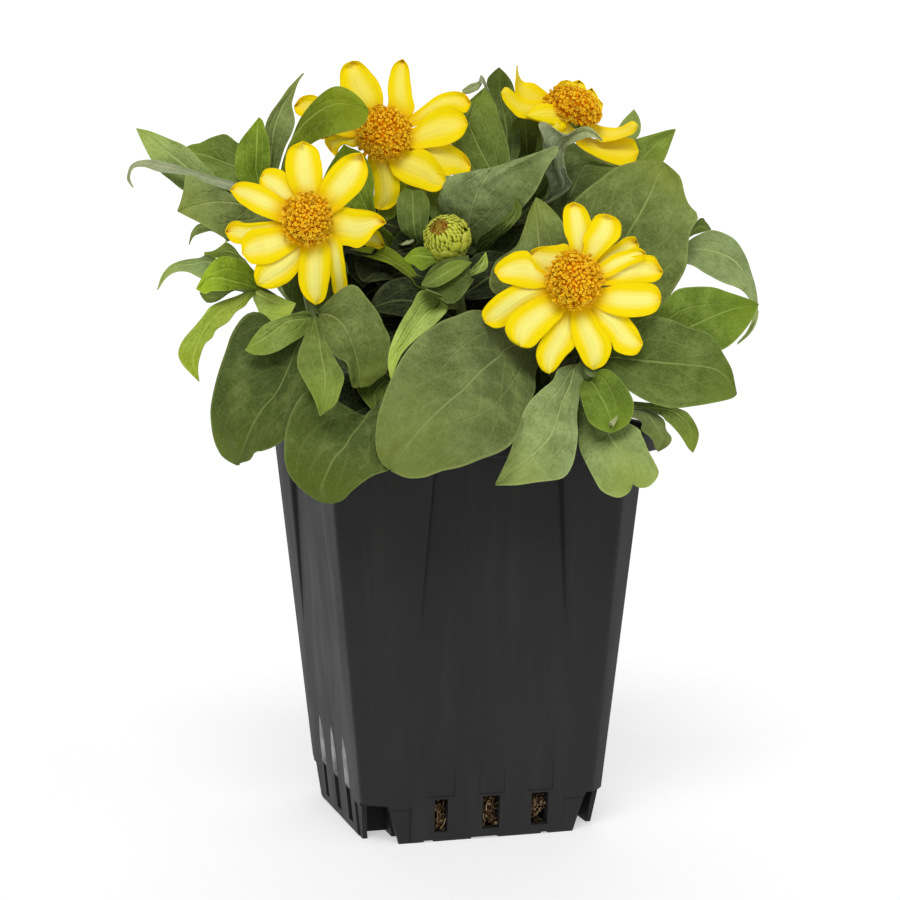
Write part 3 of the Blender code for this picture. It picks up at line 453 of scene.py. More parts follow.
# The outlines of the leaves that the photograph shows, in its pixels: for each stem, the number of the leaf,
# its midrib and its two edges. Each runs from the first place that shows to the tip.
OUTLINES = {
    "stem_left_bloom": {
        0: ([(355, 430), (345, 447), (334, 460), (327, 475), (322, 490), (332, 504)],
            [(364, 430), (353, 418), (343, 405), (330, 395), (315, 389), (305, 391), (293, 408), (286, 428),
             (284, 450), (286, 468), (294, 482), (307, 494), (320, 502), (332, 504)],
            [(395, 430), (398, 450), (392, 468), (372, 476), (353, 490), (343, 500), (332, 504)]),
        1: ([(299, 345), (287, 370), (275, 395), (262, 410), (250, 430), (238, 465)],
            [(280, 322), (258, 312), (244, 316), (232, 333), (226, 350), (217, 377), (211, 405), (211, 422),
             (214, 440), (221, 455), (230, 462), (238, 466)],
            [(318, 345), (320, 370), (312, 395), (303, 415), (293, 432), (275, 446), (262, 451), (255, 452),
             (250, 460), (240, 463), (238, 466)]),
        2: ([(308, 318), (288, 322), (275, 330), (262, 340), (245, 350)],
            [(306, 311), (292, 314), (277, 319), (264, 325), (254, 336), (245, 350)],
            [(307, 328), (303, 336), (293, 342), (278, 351), (264, 355), (252, 354), (245, 350)]),
        3: ([(315, 320), (319, 340), (322, 358), (325, 375), (325, 390), (322, 405), (320, 416)],
            [(309, 320), (304, 337), (298, 354), (298, 368), (306, 384), (314, 399), (320, 416)],
            [(319, 320), (325, 341), (336, 360), (344, 376), (341, 390), (336, 404), (327, 411), (320, 416)]),
        4: ([(330, 315), (343, 325), (352, 345), (358, 365), (360, 388)],
            [(318, 312), (321, 330), (328, 347), (338, 358), (347, 364), (352, 386), (360, 388)],
            [(340, 290), (355, 285), (367, 298), (379, 314), (384, 326), (390, 338), (389, 355), (387, 372),
             (378, 379), (370, 386), (360, 388)]),
    },
    "stem_upper_bloom": {
        0: ([(385, 240), (368, 210), (355, 180), (344, 146)],
            [(375, 250), (350, 225), (330, 205), (322, 186), (326, 172), (334, 158), (344, 144)],
            [(395, 240), (382, 225), (374, 205), (374, 182), (370, 166), (362, 153), (349, 147), (344, 144)]),
        1: ([(408, 240), (414, 210), (412, 180)],
            [(380, 250), (376, 228), (380, 203), (394, 183), (412, 178)],
            [(415, 250), (425, 235), (428, 212), (426, 192), (412, 178)]),
    },
    "stem_back_bloom": {
        0: ([(570, 160), (610, 145), (632, 130), (634, 109)],
            [(600, 140), (616, 129), (624, 119), (634, 109)],
            [(615, 150), (636, 139), (641, 128), (639, 117), (634, 109)]),
        1: ([(600, 185), (640, 159), (658, 142), (676, 129)],
            [(600, 160), (620, 146), (636, 139), (650, 135), (668, 130), (676, 129)],
            [(610, 195), (640, 180), (658, 168), (665, 159), (670, 146), (676, 129)]),
        2: ([(560, 190), (556, 165), (556, 150), (562, 140), (575, 133), (590, 132), (603, 141)],
            [(550, 195), (543, 165), (543, 140), (538, 124), (545, 122), (558, 131), (566, 136), (576, 129),
             (590, 127), (603, 140)],
            [(568, 190), (567, 175), (564, 160), (565, 148), (571, 144), (580, 140), (592, 137), (603, 141)]),
    },
    "stem_right_bloom": {
        0: ([(575, 368), (570, 385), (562, 402), (555, 425), (549, 439), (532, 456), (495, 484)],
            [(560, 368), (553, 380), (541, 390), (527, 405), (518, 427), (510, 452), (499, 476), (495, 484)],
            [(587, 368), (582, 385), (577, 415), (578, 435), (574, 460), (568, 473), (560, 479), (537, 482),
             (516, 485), (495, 485)]),
        1: ([(595, 415), (609, 435), (620, 452), (630, 466), (633, 484)],
            [(578, 420), (579, 445), (583, 457), (591, 473), (600, 489), (607, 494), (614, 497), (622, 497),
             (630, 491), (633, 484)],
            [(632, 425), (641, 434), (648, 450), (655, 463), (659, 474), (650, 486), (640, 488), (633, 484)]),
        2: ([(594, 384), (600, 397), (605, 406), (610, 418), (612, 432)],
            [(581, 378), (580, 390), (582, 402), (586, 415), (591, 424), (601, 430), (612, 433)],
            [(605, 369), (618, 377), (630, 393), (634, 405), (632, 417), (626, 426), (612, 433)]),
        3: ([(606, 359), (640, 361), (670, 363), (700, 366), (721, 373), (737, 394)],
            [(600, 345), (637, 322), (650, 316), (673, 320), (690, 328), (707, 332), (716, 342), (727, 360),
             (732, 370), (735, 384), (737, 394)],
            [(605, 372), (625, 388), (649, 402), (672, 408), (695, 406), (718, 402), (733, 398), (737, 394)]),
        4: ([(640, 345), (670, 335), (692, 326), (712, 317), (733, 309), (759, 304)],
            [(640, 318), (655, 311), (666, 301), (676, 290), (690, 287), (712, 287), (728, 292), (749, 299),
             (759, 304)],
            [(650, 355), (680, 353), (705, 354), (722, 350), (735, 341), (748, 326), (755, 313), (759, 304)]),
        5: ([(650, 408), (675, 413), (688, 425), (693, 440), (693, 453)],
            [(650, 403), (680, 409), (689, 414), (697, 427), (699, 436), (696, 447), (693, 453)],
            [(650, 412), (666, 421), (674, 428), (682, 438), (688, 448), (693, 453)]),
        6: ([(636, 413), (650, 420), (658, 430), (664, 440), (658, 452)],
            [(640, 409), (651, 411), (664, 420), (666, 430), (672, 438), (668, 446), (658, 452)],
            [(634, 418), (641, 430), (648, 435), (653, 441), (655, 448), (658, 452)]),
    },
    "stem_bud": {
        0: ([(470, 262), (455, 272), (440, 280), (421, 287)],
            [(470, 258), (455, 258), (443, 260), (432, 267), (425, 277), (421, 286)],
            [(474, 280), (467, 290), (458, 301), (448, 304), (440, 299), (430, 291), (421, 287)]),
        1: ([(445, 262), (430, 257), (415, 256), (404, 258)],
            [(442, 258), (432, 250), (420, 247), (412, 250), (404, 258)],
            [(440, 264), (430, 266), (422, 271), (414, 265), (406, 262), (404, 258)]),
        2: ([(476, 272), (482, 264), (486, 252)],
            [(473, 267), (480, 260), (486, 252)],
            [(482, 272), (487, 268), (488, 262), (486, 252)]),
        3: ([(432, 310), (415, 328), (402, 345), (393, 362), (391, 381)],
            [(424, 290), (412, 305), (401, 322), (393, 339), (389, 352), (388, 366), (391, 381)],
            [(440, 300), (448, 308), (440, 319), (430, 328), (417, 338), (403, 352), (396, 366), (391, 381)]),
        4: ([(424, 285), (405, 270), (385, 257), (365, 251), (350, 250)],
            [(424, 280), (414, 268), (402, 257), (388, 247), (372, 246), (358, 249), (350, 250)],
            [(420, 288), (412, 279), (403, 273), (390, 264), (368, 257), (357, 254), (350, 250)]),
    },
    "stem_centre_shoot": {
        0: ([(489, 166), (484, 157), (478, 145), (473, 133), (469, 123), (474, 105), (485, 87)],
            [(470, 200), (460, 175), (452, 150), (452, 130), (460, 110), (471, 99), (485, 87)],
            [(512, 190), (510, 158), (507, 140), (500, 120), (495, 103), (485, 87)]),
        1: ([(508, 150), (505, 120), (500, 95), (499, 67)],
            [(500, 150), (496, 120), (488, 92), (487, 80), (492, 73), (499, 67)],
            [(520, 150), (518, 115), (514, 88), (508, 76), (499, 67)]),
        2: ([(485, 84), (480, 85), (469, 89), (462, 92)],
            [(485, 80), (478, 82), (470, 84), (462, 90)],
            [(485, 87), (478, 90), (468, 94), (462, 93)]),
        3: ([(468, 235), (470, 215), (475, 197), (481, 183), (495, 167)],
            [(455, 232), (443, 215), (438, 201), (441, 189), (447, 179), (456, 174), (473, 171), (495, 167)],
            [(490, 235), (515, 215), (535, 192), (547, 168), (560, 146), (530, 155), (495, 167)]),
        4: ([(480, 245), (495, 235), (508, 224), (516, 212), (515, 197)],
            [(478, 240), (490, 230), (503, 219), (511, 213), (514, 203), (515, 197)],
            [(487, 252), (494, 240), (505, 233), (515, 223), (521, 215), (521, 206), (515, 197)]),
    },
    "stem_left_upper_shoot": {
        0: ([(222, 190), (200, 177), (186, 167), (160, 146), (136, 128)],
            [(225, 182), (205, 165), (187, 147), (170, 139), (150, 131), (136, 128)],
            [(222, 200), (200, 198), (184, 191), (170, 180), (158, 170), (148, 154), (141, 140), (136, 128)]),
        1: ([(240, 188), (215, 181), (186, 171), (160, 166), (143, 163), (132, 167), (128, 175), (130, 182),
             (134, 188)],
            [(240, 184), (215, 177), (186, 168), (160, 161), (143, 160), (131, 165), (127, 177), (129, 183),
             (134, 188)],
            [(240, 193), (215, 186), (186, 175), (160, 172), (145, 167), (133, 168), (130, 177), (131, 182),
             (134, 188)]),
        2: ([(248, 175), (227, 163), (205, 155), (181, 153)],
            [(250, 150), (238, 143), (228, 135), (223, 134), (210, 138), (200, 143), (190, 145), (180, 152)],
            [(245, 188), (220, 182), (200, 176), (187, 170), (183, 160), (180, 152)]),
        3: ([(260, 186), (256, 170), (256, 158), (257, 140), (259, 117)],
            [(245, 184), (236, 175), (235, 165), (236, 152), (240, 141), (250, 128), (259, 117)],
            [(266, 180), (270, 165), (270, 150), (269, 140), (266, 132), (263, 121), (259, 117)]),
        4: ([(270, 180), (271, 160), (274, 130), (283, 105), (290, 95), (298, 80), (304, 73)],
            [(266, 170), (265, 150), (265, 128), (270, 114), (280, 100), (290, 86), (304, 73)],
            [(276, 178), (284, 150), (292, 133), (295, 120), (292, 105), (294, 95), (298, 82), (304, 73)]),
        5: ([(285, 160), (297, 133), (315, 114), (335, 104), (355, 106), (369, 110)],
            [(279, 185), (283, 160), (292, 138), (300, 119), (312, 103), (325, 91), (337, 86), (350, 90),
             (362, 100), (369, 110)],
            [(285, 195), (292, 168), (303, 152), (313, 143), (326, 137), (340, 133), (353, 130), (362, 126),
             (367, 119), (369, 110)]),
        6: ([(258, 208), (235, 203), (215, 202), (195, 206), (177, 211)],
            [(262, 203), (240, 197), (222, 190), (205, 182), (187, 174), (184, 188), (180, 203), (177, 211)],
            [(270, 225), (255, 232), (240, 238), (225, 238), (212, 230), (200, 223), (188, 217), (177, 211)]),
        7: ([(235, 234), (218, 230), (205, 227), (197, 229), (192, 234), (190, 240), (189, 245)],
            [(235, 228), (215, 226), (204, 223), (197, 225), (192, 231), (190, 237), (189, 245)],
            [(235, 240), (222, 236), (212, 231), (205, 232), (197, 235), (193, 237), (189, 245)]),
    },
    "stem_left_lower_shoot": {
        0: ([(213, 264), (192, 265), (180, 266), (170, 271), (163, 279), (157, 290)],
            [(213, 257), (200, 258), (184, 260), (171, 265), (162, 275), (157, 290)],
            [(213, 282), (200, 278), (188, 272), (176, 272), (166, 278), (157, 290)]),
        1: ([(250, 266), (235, 254), (220, 252), (204, 253)],
            [(246, 262), (239, 254), (234, 247), (226, 242), (221, 246), (213, 251), (204, 252)],
            [(248, 270), (232, 262), (220, 258), (210, 258), (204, 255)]),
        2: ([(253, 287), (240, 283), (225, 279), (212, 278), (203, 283), (197, 290)],
            [(255, 272), (248, 265), (240, 260), (232, 257), (225, 256), (216, 259), (208, 267), (201, 279),
             (196, 289)],
            [(253, 290), (240, 289), (225, 291), (212, 291), (205, 294), (196, 289)]),
        3: ([(240, 290), (225, 293), (212, 297), (200, 293)],
            [(240, 289), (225, 289), (212, 290), (200, 292)],
            [(236, 290), (229, 293), (218, 301), (208, 303), (203, 299), (199, 292)]),
        4: ([(250, 292), (235, 302), (222, 311), (212, 320), (203, 333), (197, 345), (193, 358), (194, 370),
             (199, 382)],
            [(250, 290), (240, 295), (222, 301), (210, 307), (204, 315), (195, 326), (183, 340), (178, 353),
             (182, 364), (191, 374), (199, 382)],
            [(254, 296), (245, 306), (236, 312), (228, 322), (216, 330), (212, 338), (205, 344), (200, 357),
             (198, 368), (199, 382)]),
        5: ([(256, 292), (266, 299), (276, 303), (286, 306), (296, 303)],
            [(260, 290), (270, 294), (279, 296), (287, 300), (296, 303)],
            [(254, 296), (256, 305), (261, 316), (268, 322), (277, 322), (284, 320), (291, 314), (296, 303)]),
    },
    "stem_right_shoot": {
        0: ([(511, 346), (500, 355), (481, 371), (462, 391), (450, 401), (430, 421), (417, 436), (390, 470)],
            [(520, 320), (477, 310), (456, 316), (438, 323), (417, 339), (400, 361), (388, 386), (380, 408),
             (376, 428), (376, 448), (381, 463), (390, 470)],
            [(537, 368), (535, 390), (525, 415), (515, 440), (500, 452), (481, 459), (461, 467), (441, 471),
             (426, 477), (408, 478), (395, 473), (390, 470)]),
        1: ([(545, 290), (540, 260), (538, 230), (536, 198)],
            [(510, 300), (491, 290), (490, 275), (497, 260), (508, 252), (517, 245), (524, 228), (529, 212),
             (536, 197)],
            [(575, 290), (572, 262), (568, 240), (563, 223), (550, 207), (541, 200), (536, 197)]),
        2: ([(600, 290), (618, 255), (631, 228), (640, 213), (651, 193), (657, 177), (664, 162)],
            [(575, 265), (568, 235), (570, 208), (582, 193), (599, 180), (617, 167), (640, 161), (664, 162)],
            [(600, 345), (628, 328), (650, 316), (664, 304), (675, 288), (686, 268), (688, 250), (690, 233),
             (697, 221), (698, 214), (690, 206), (685, 195), (681, 178), (674, 170), (664, 162)]),
        3: ([(690, 250), (712, 252), (735, 262), (750, 282), (757, 302), (754, 325), (737, 345)],
            [(690, 240), (698, 235), (712, 230), (728, 235), (738, 243), (748, 262), (755, 290), (757, 312),
             (751, 332), (737, 345)],
            [(688, 264), (705, 273), (722, 282), (740, 289), (750, 300), (753, 316), (747, 331), (737, 343)]),
        4: ([(695, 228), (711, 229)],
            [(698, 220), (706, 222), (711, 229)],
            [(689, 238), (700, 233), (711, 230)]),
    },
}

# The same for the petals, by their numbers: the two edges of each, from the disc to the tip
PETAL_OUTLINES = {
    "back_bloom_rays": {
        0: ([(546, 103), (528, 101), (518, 96), (511, 90), (505, 87), (501, 92)],
            [(548, 121), (532, 118), (518, 116), (509, 108), (503, 100), (501, 92)]),
        1: ([(545, 112), (527, 108), (517, 101), (515, 88), (516, 76), (517, 65)],
            [(552, 100), (543, 92), (533, 84), (524, 82), (519, 76), (517, 65)]),
        2: ([(560, 98), (556, 88), (560, 82), (566, 80)], [(574, 98), (575, 88), (572, 82), (566, 80)]),
        3: ([(572, 96), (570, 87), (573, 82), (579, 80)], [(588, 98), (587, 92), (584, 84), (579, 80)]),
        4: ([(582, 100), (587, 91), (592, 88)], [(594, 106), (598, 98), (592, 88)]),
        5: ([(590, 104), (597, 98), (603, 104)], [(590, 120), (600, 115), (603, 104)]),
        6: ([(594, 126), (610, 129), (621, 127), (632, 121), (638, 125)],
            [(598, 138), (608, 140), (622, 138), (634, 133), (638, 125)]),
        7: ([(585, 136), (605, 141), (621, 138), (633, 139), (639, 151)],
            [(577, 140), (594, 154), (610, 162), (623, 166), (634, 163), (639, 151)]),
        8: ([(556, 121), (556, 128), (561, 134), (567, 138)],
            [(580, 121), (578, 129), (573, 135), (567, 138)]),
        9: ([(545, 119), (549, 127), (557, 133)], [(566, 120), (565, 128), (557, 133)]),
        10: ([(546, 105), (534, 107), (526, 116)], [(556, 122), (538, 121), (526, 116)]),
    },
    "left_bloom_rays": {
        0: ([(302, 205), (291, 185), (286, 165), (289, 149), (303, 141)],
            [(320, 200), (321, 180), (321, 163), (317, 149), (303, 141)]),
        1: ([(318, 202), (324, 182), (338, 161), (351, 154), (362, 153)],
            [(332, 211), (348, 200), (362, 187), (368, 172), (362, 153)]),
        2: ([(330, 208), (353, 210), (370, 211), (382, 217), (386, 223)],
            [(330, 240), (348, 244), (358, 247), (368, 241), (375, 231), (386, 223)]),
        3: ([(365, 236), (372, 231), (379, 232), (385, 246)],
            [(362, 244), (371, 246), (379, 249), (385, 246)]),
        4: ([(322, 243), (329, 255), (331, 275), (334, 293), (341, 299)],
            [(336, 238), (342, 255), (346, 275), (347, 288), (341, 299)]),
        5: ([(304, 245), (300, 268), (300, 287), (306, 298), (316, 305)],
            [(326, 245), (329, 268), (328, 287), (324, 300), (316, 305)]),
        6: ([(300, 240), (278, 254), (258, 263), (254, 275), (257, 285)],
            [(308, 248), (298, 268), (287, 282), (271, 289), (257, 285)]),
        7: ([(294, 228), (270, 229), (250, 231), (242, 240), (242, 254)],
            [(296, 243), (283, 255), (268, 263), (252, 264), (242, 254)]),
        8: ([(250, 224), (238, 221), (229, 224), (225, 232)],
            [(250, 241), (240, 244), (231, 241), (225, 232)]),
        9: ([(288, 205), (262, 187), (248, 182), (237, 183), (230, 190)],
            [(288, 221), (268, 216), (252, 210), (239, 202), (230, 190)]),
        10: ([(302, 200), (292, 184), (281, 170), (266, 169), (260, 178)],
             [(290, 208), (276, 205), (263, 195), (260, 186), (260, 178)]),
    },
    "upper_bloom_rays": {
        0: ([(362, 112), (352, 103), (343, 92), (340, 80), (341, 70), (345, 64), (352, 61)],
            [(381, 104), (381, 95), (378, 84), (372, 74), (365, 66), (358, 61), (352, 61)]),
        1: ([(390, 105), (389, 90), (390, 75), (393, 66), (398, 61), (403, 59)],
            [(411, 112), (411, 95), (410, 78), (408, 66), (403, 59)]),
        2: ([(413, 116), (424, 107), (435, 98), (448, 92), (460, 92), (467, 96), (471, 103)],
            [(420, 122), (432, 114), (445, 109), (456, 110), (464, 113), (468, 110), (471, 103)]),
        3: ([(413, 130), (422, 121), (432, 113), (444, 108), (456, 109), (464, 115), (468, 124)],
            [(412, 146), (430, 146), (444, 145), (454, 142), (463, 135), (468, 124)]),
        4: ([(412, 140), (430, 140), (446, 143), (458, 149), (467, 157), (471, 166)],
            [(420, 165), (438, 172), (448, 176), (454, 174), (462, 177), (469, 176), (471, 166)]),
        5: ([(405, 152), (418, 150), (430, 154), (440, 165), (445, 176), (446, 183)],
            [(392, 168), (398, 176), (406, 182), (420, 188), (432, 192), (440, 190), (446, 183)]),
        6: ([(370, 158), (374, 172), (375, 185), (374, 197), (372, 206), (380, 210)],
            [(394, 165), (398, 180), (399, 192), (397, 202), (389, 209), (380, 210)]),
        7: ([(352, 137), (338, 136), (326, 139), (325, 143), (331, 152)],
            [(355, 145), (345, 143), (339, 148), (336, 156), (331, 152)]),
        8: ([(356, 130), (342, 132), (330, 135), (321, 139)],
            [(354, 141), (345, 141), (336, 140), (321, 139)]),
        9: ([(350, 122), (330, 105), (316, 96), (308, 95), (300, 98), (294, 106)],
            [(350, 135), (330, 130), (315, 124), (304, 118), (296, 113), (294, 106)]),
    },
    "right_bloom_rays": {
        0: ([(571, 246), (566, 234), (563, 219), (565, 207), (573, 202)],
            [(586, 250), (592, 236), (591, 221), (584, 207), (573, 202)]),
        1: ([(585, 250), (584, 239), (591, 223), (597, 215), (606, 214)],
            [(599, 256), (611, 245), (620, 236), (621, 225), (616, 218), (606, 214)]),
        2: ([(604, 254), (615, 245), (625, 238), (635, 237), (637, 242)],
            [(609, 266), (626, 259), (636, 251), (639, 245), (637, 242)]),
        3: ([(604, 263), (615, 255), (628, 250), (639, 248), (646, 253)],
            [(608, 275), (624, 268), (638, 262), (645, 257), (646, 253)]),
        4: ([(604, 267), (619, 262), (637, 256), (653, 256), (658, 263), (663, 272)],
            [(604, 283), (619, 284), (637, 284), (653, 282), (660, 278), (663, 272)]),
        5: ([(602, 290), (619, 285), (637, 284), (653, 284), (660, 292), (661, 301)],
            [(597, 305), (611, 312), (628, 316), (644, 316), (656, 311), (661, 301)]),
        6: ([(602, 302), (616, 309), (628, 318), (637, 329), (643, 344)],
            [(591, 314), (599, 325), (611, 340), (615, 350), (626, 355), (637, 354), (643, 344)]),
        7: ([(573, 316), (573, 334), (577, 349), (584, 363), (593, 370)],
            [(591, 314), (599, 327), (609, 340), (611, 352), (604, 365), (593, 370)]),
        8: ([(560, 314), (549, 329), (539, 345), (536, 356), (541, 369), (549, 374)],
            [(576, 316), (577, 334), (573, 347), (564, 358), (555, 370), (549, 374)]),
        9: ([(546, 296), (531, 303), (513, 314), (505, 327), (510, 340), (521, 347)],
            [(562, 312), (553, 323), (544, 334), (535, 345), (528, 348), (521, 347)]),
        10: ([(545, 280), (526, 282), (507, 290), (493, 298), (482, 312), (485, 323)],
             [(546, 297), (533, 303), (520, 312), (507, 325), (495, 328), (485, 323)]),
        11: ([(536, 267), (531, 256), (526, 252), (513, 253), (500, 261), (494, 270), (497, 276)],
             [(545, 285), (533, 287), (520, 286), (509, 284), (501, 281), (497, 276)]),
        12: ([(568, 248), (555, 246), (540, 247), (532, 250), (530, 253)],
             [(545, 283), (534, 270), (528, 258), (530, 253)]),
    },
}


# Materials

class Shader:
    """A Principled material whose colour, roughness and relief come from nodes. A value is a number, a
    colour or the socket of another node."""

    def __init__(self, name, roughness, **constants):
        self.material = bpy.data.materials.new(name)
        self.material.use_nodes = True
        self.nodes = self.material.node_tree.nodes
        self.links = self.material.node_tree.links
        self.main = self.nodes["Principled BSDF"]
        self.main.inputs["Roughness"].default_value = roughness
        for socket, value in constants.items():
            self.main.inputs[socket.replace("_", " ")].default_value = value

    def give(self, socket, value):
        if isinstance(value, bpy.types.NodeSocket):
            self.links.new(value, socket)
        elif isinstance(value, tuple) and len(value) == 3 and socket.type == "RGBA":
            socket.default_value = (*value, 1)
        else:
            socket.default_value = value

    def math(self, operation, a, b=0.0, c=0.0):
        node = self.nodes.new("ShaderNodeMath")
        node.operation = operation
        for socket, value in zip(node.inputs, (a, b, c)):
            self.give(socket, value)
        return node.outputs[0]

    def times(self, *values):
        """The values multiplied together."""
        product = values[0]
        for value in values[1:]:
            product = self.math("MULTIPLY", product, value)
        return product

    def weigh(self, *terms):
        """The sum of the terms, each a value and its weight."""
        total = 0.0
        for value, weight in terms:
            total = self.math("MULTIPLY_ADD", value, weight, total)
        return total

    def fade(self, value, low, high, to_low=0.0, to_high=1.0):
        """value, smoothly brought from low..high to to_low..to_high."""
        node = self.nodes.new("ShaderNodeMapRange")
        node.interpolation_type = "SMOOTHSTEP"
        for socket, given in zip(node.inputs, (value, low, high, to_low, to_high)):
            self.give(socket, given)
        return node.outputs[0]

    def mix(self, share, a, b, blend="MIX"):
        node = self.nodes.new("ShaderNodeMix")
        node.data_type = "RGBA"
        node.blend_type = blend
        for socket, value in ((node.inputs[0], share), (node.inputs[6], a), (node.inputs[7], b)):
            self.give(socket, value)
        return node.outputs[2]

    def layers(self, colour, *layers):
        """The colour under some layers. Each has a value, the two ends between which it brings the layer in,
        how much of the layer shows in the end, and the layer's colour."""
        for value, low, high, most, over in layers:
            colour = self.mix(self.fade(value, low, high, 0, most), colour, over)
        return colour

    def noise(self, scale, detail=2.0, stretch=(1, 1, 1), roughness=0.5):
        spread = self.nodes.new("ShaderNodeMapping")
        spread.inputs["Scale"].default_value = stretch
        self.links.new(self.nodes.new("ShaderNodeTexCoord").outputs["Object"], spread.inputs["Vector"])
        node = self.nodes.new("ShaderNodeTexNoise")
        node.inputs["Scale"].default_value = scale
        node.inputs["Detail"].default_value = detail
        node.inputs["Roughness"].default_value = roughness
        self.links.new(spread.outputs[0], node.inputs["Vector"])
        return node.outputs["Fac"]

    def kept(self, name):
        """What a mesh keeps under this name, as one vector."""
        node = self.nodes.new("ShaderNodeAttribute")
        node.attribute_name = name
        return node.outputs["Vector"]

    def attribute(self, name):
        """The three numbers that a mesh keeps under this name."""
        apart = self.nodes.new("ShaderNodeSeparateXYZ")
        self.links.new(self.kept(name), apart.inputs[0])
        return apart.outputs[0], apart.outputs[1], apart.outputs[2]

    def finish(self, colour, height=None, depth=0.0002, roughness=None):
        self.give(self.main.inputs["Base Color"], colour)
        if roughness is not None:
            self.give(self.main.inputs["Roughness"], roughness)
        if height is not None:
            bump = self.nodes.new("ShaderNodeBump")
            bump.inputs["Distance"].default_value = depth
            bump.inputs["Strength"].default_value = 1.0
            self.links.new(height, bump.inputs["Height"])
            self.links.new(bump.outputs[0], self.main.inputs["Normal"])
        return self.material


def leaf_material(name, wash, share):
    """A leaf's skin: its own green under a share of a wash. place is how far along the leaf a point lies, how
    far across, and its distance from the midrib in millimetres. look is the leaf's own green."""
    m = Shader(name, 0.62, Specular_IOR_Level=0.12, Sheen_Weight=0.03, Sheen_Roughness=0.5)
    along, across, apart = m.attribute("place")
    edge, away = m.math("ABSOLUTE", across), m.math("ABSOLUTE", apart)
    blotch = m.noise(120, 5, roughness=0.65)
    green = m.mix(share, m.kept("look"), wash)
    bluish, deep, bright, sunny = (m.mix(1.0, green, tone, "MULTIPLY") for tone in (
        (0.8, 0.9, 1.5), (0.52, 0.55, 0.45), (1.6, 1.5, 1.6), (1.38, 1.32, 0.75)))
    pale = m.mix(0.35, bright, (0.34, 0.40, 0.13))
    # The darkening over the half of a leaf towards its foot is painted shade, where the leaves above shadow it.
    colour = m.layers(green, (m.noise(42, 2), 0.4, 0.62, 0.35, bluish),
                      (m.noise(30, 2), 0.46, 0.64, 0.6, deep), (blotch, 0.44, 0.66, 0.75, deep),
                      (blotch, 0.5, 0.3, 0.5, pale), (m.noise(1500, 2), 0.38, 0.62, 0.22, pale),
                      (m.noise(1100, 3), 0.5, 0.7, 0.5, deep), (along, 0.5, 0.0, 0.6, deep),
                      (along, 0.6, 1.0, 0.6, sunny))
    # Two strong veins leave the midrib at the leaf's foot and run along with it towards the tip
    arch = m.math("SINE", m.times(m.math("MINIMUM", along, 0.94), math.pi / 0.95))
    arch = m.times(m.math("POWER", arch, 0.7), 0.5)
    off = m.math("SUBTRACT", 1.0, m.math("DIVIDE", arch, m.math("MAXIMUM", edge, 0.002)))
    off = m.math("ABSOLUTE", m.times(away, off))
    strong = m.times(m.fade(off, 0.08, 0.5, 1, 0), m.fade(along, 0.6, 0.95, 1, 0))
    # The side veins leave it further up and arch forward
    phase = m.times(m.math("SUBTRACT", along, m.times(m.math("POWER", edge, 1.35), 0.5)), SIDE_VEINS)
    beside = m.times(m.math("PINGPONG", phase, 0.5), 2.0)
    side = m.times(m.fade(beside, 0.0, 0.22, 1, 0), m.fade(edge, 0.75, 1.0, 1, 0))
    middle = m.times(m.fade(away, 0.14, 0.62, 1, 0), m.fade(along, 0.75, 1.0, 1, 0.15))
    for vein, strength in ((side, 0.2), (strong, 0.3), (middle, 0.9)):
        colour = m.mix(m.times(vein, strength), colour, pale)
    colour = m.layers(colour, (edge, 0.94, 0.99, 0.5, pale))
    height = m.weigh((m.noise(900, 3), 0.45), (side, -0.3), (strong, -0.6), (middle, -0.8),
                     (m.noise(230, 3), 2.6), (m.noise(85, 2), 6.0))
    return m.finish(colour, height, 0.00035, m.fade(blotch, 0.3, 0.7, 0.55, 0.7))


def petal_material(name, cream, full, deep):
    """A petal's skin: creamy along its middle, golden at its foot. look is how creamy it is, how green, and
    a number of its own."""
    m = Shader(name, 0.55, Specular_IOR_Level=0.06)
    along, across, _ = m.attribute("place")
    creamy, green, own = m.attribute("look")
    edge = m.math("ABSOLUTE", across)
    stripe = m.math("SINE", m.math("MULTIPLY_ADD", across, PETAL_STRIPES, own))
    middle = m.times(m.fade(edge, 0.1, 0.7, 1, 0), m.fade(along, 0.2, 0.5), m.fade(along, 0.8, 1.0, 1, 0.25))
    colour = m.mix(m.times(middle, creamy), full, cream)
    colour = m.layers(colour, (along, 0.42, 0.12, 0.85, deep), (edge, 0.84, 1.0, 0.2, deep),
                      (stripe, 0.3, 1.0, 0.07, deep), (m.noise(140, 3), 0.5, 0.8, 0.18, deep))
    colour = m.mix(m.times(green, 0.8), colour, (0.32, 0.36, 0.03))
    return m.finish(colour, m.weigh((stripe, 0.22), (m.noise(1500, 2), 0.2)), 0.00012)


def floret_material(name, low, middle, high, tip):
    """Florets and scales: along is 0 at their foot and 1 at their tip. look is how much of the tip's
    colour shows, how brown the thing is, and a number of its own."""
    m = Shader(name, 0.6, Specular_IOR_Level=0.08)
    along, across, _ = m.attribute("place")
    bright, brown, own = m.attribute("look")
    colour = m.layers(low, (along, 0.0, 0.35, 1, middle), (along, 0.3, 0.75, 1, high))
    colour = m.mix(m.times(m.fade(along, 0.75, 1.0), bright), colour, tip)
    colour = m.mix(brown, colour, (0.28, 0.085, 0.006))
    colour = m.mix(m.times(own, 0.3), colour, middle)
    colour = m.layers(colour, (m.math("ABSOLUTE", across), 0.7, 1.0, 0.3, low))
    return m.finish(colour, m.noise(2600, 2), 0.00006)


def stem_material():
    m = Shader("stem_green", 0.6, Specular_IOR_Level=0.2, Sheen_Weight=0.1)
    streak = m.noise(500, 3, (1, 1, 0.12))
    colour = m.layers((0.10, 0.15, 0.035), (streak, 0.35, 0.65, 1, (0.19, 0.25, 0.08)),
                      (m.noise(40, 2), 0.5, 0.75, 0.35, (0.16, 0.10, 0.04)))
    return m.finish(colour, m.math("ADD", streak, m.noise(2200, 2)), 0.00015)


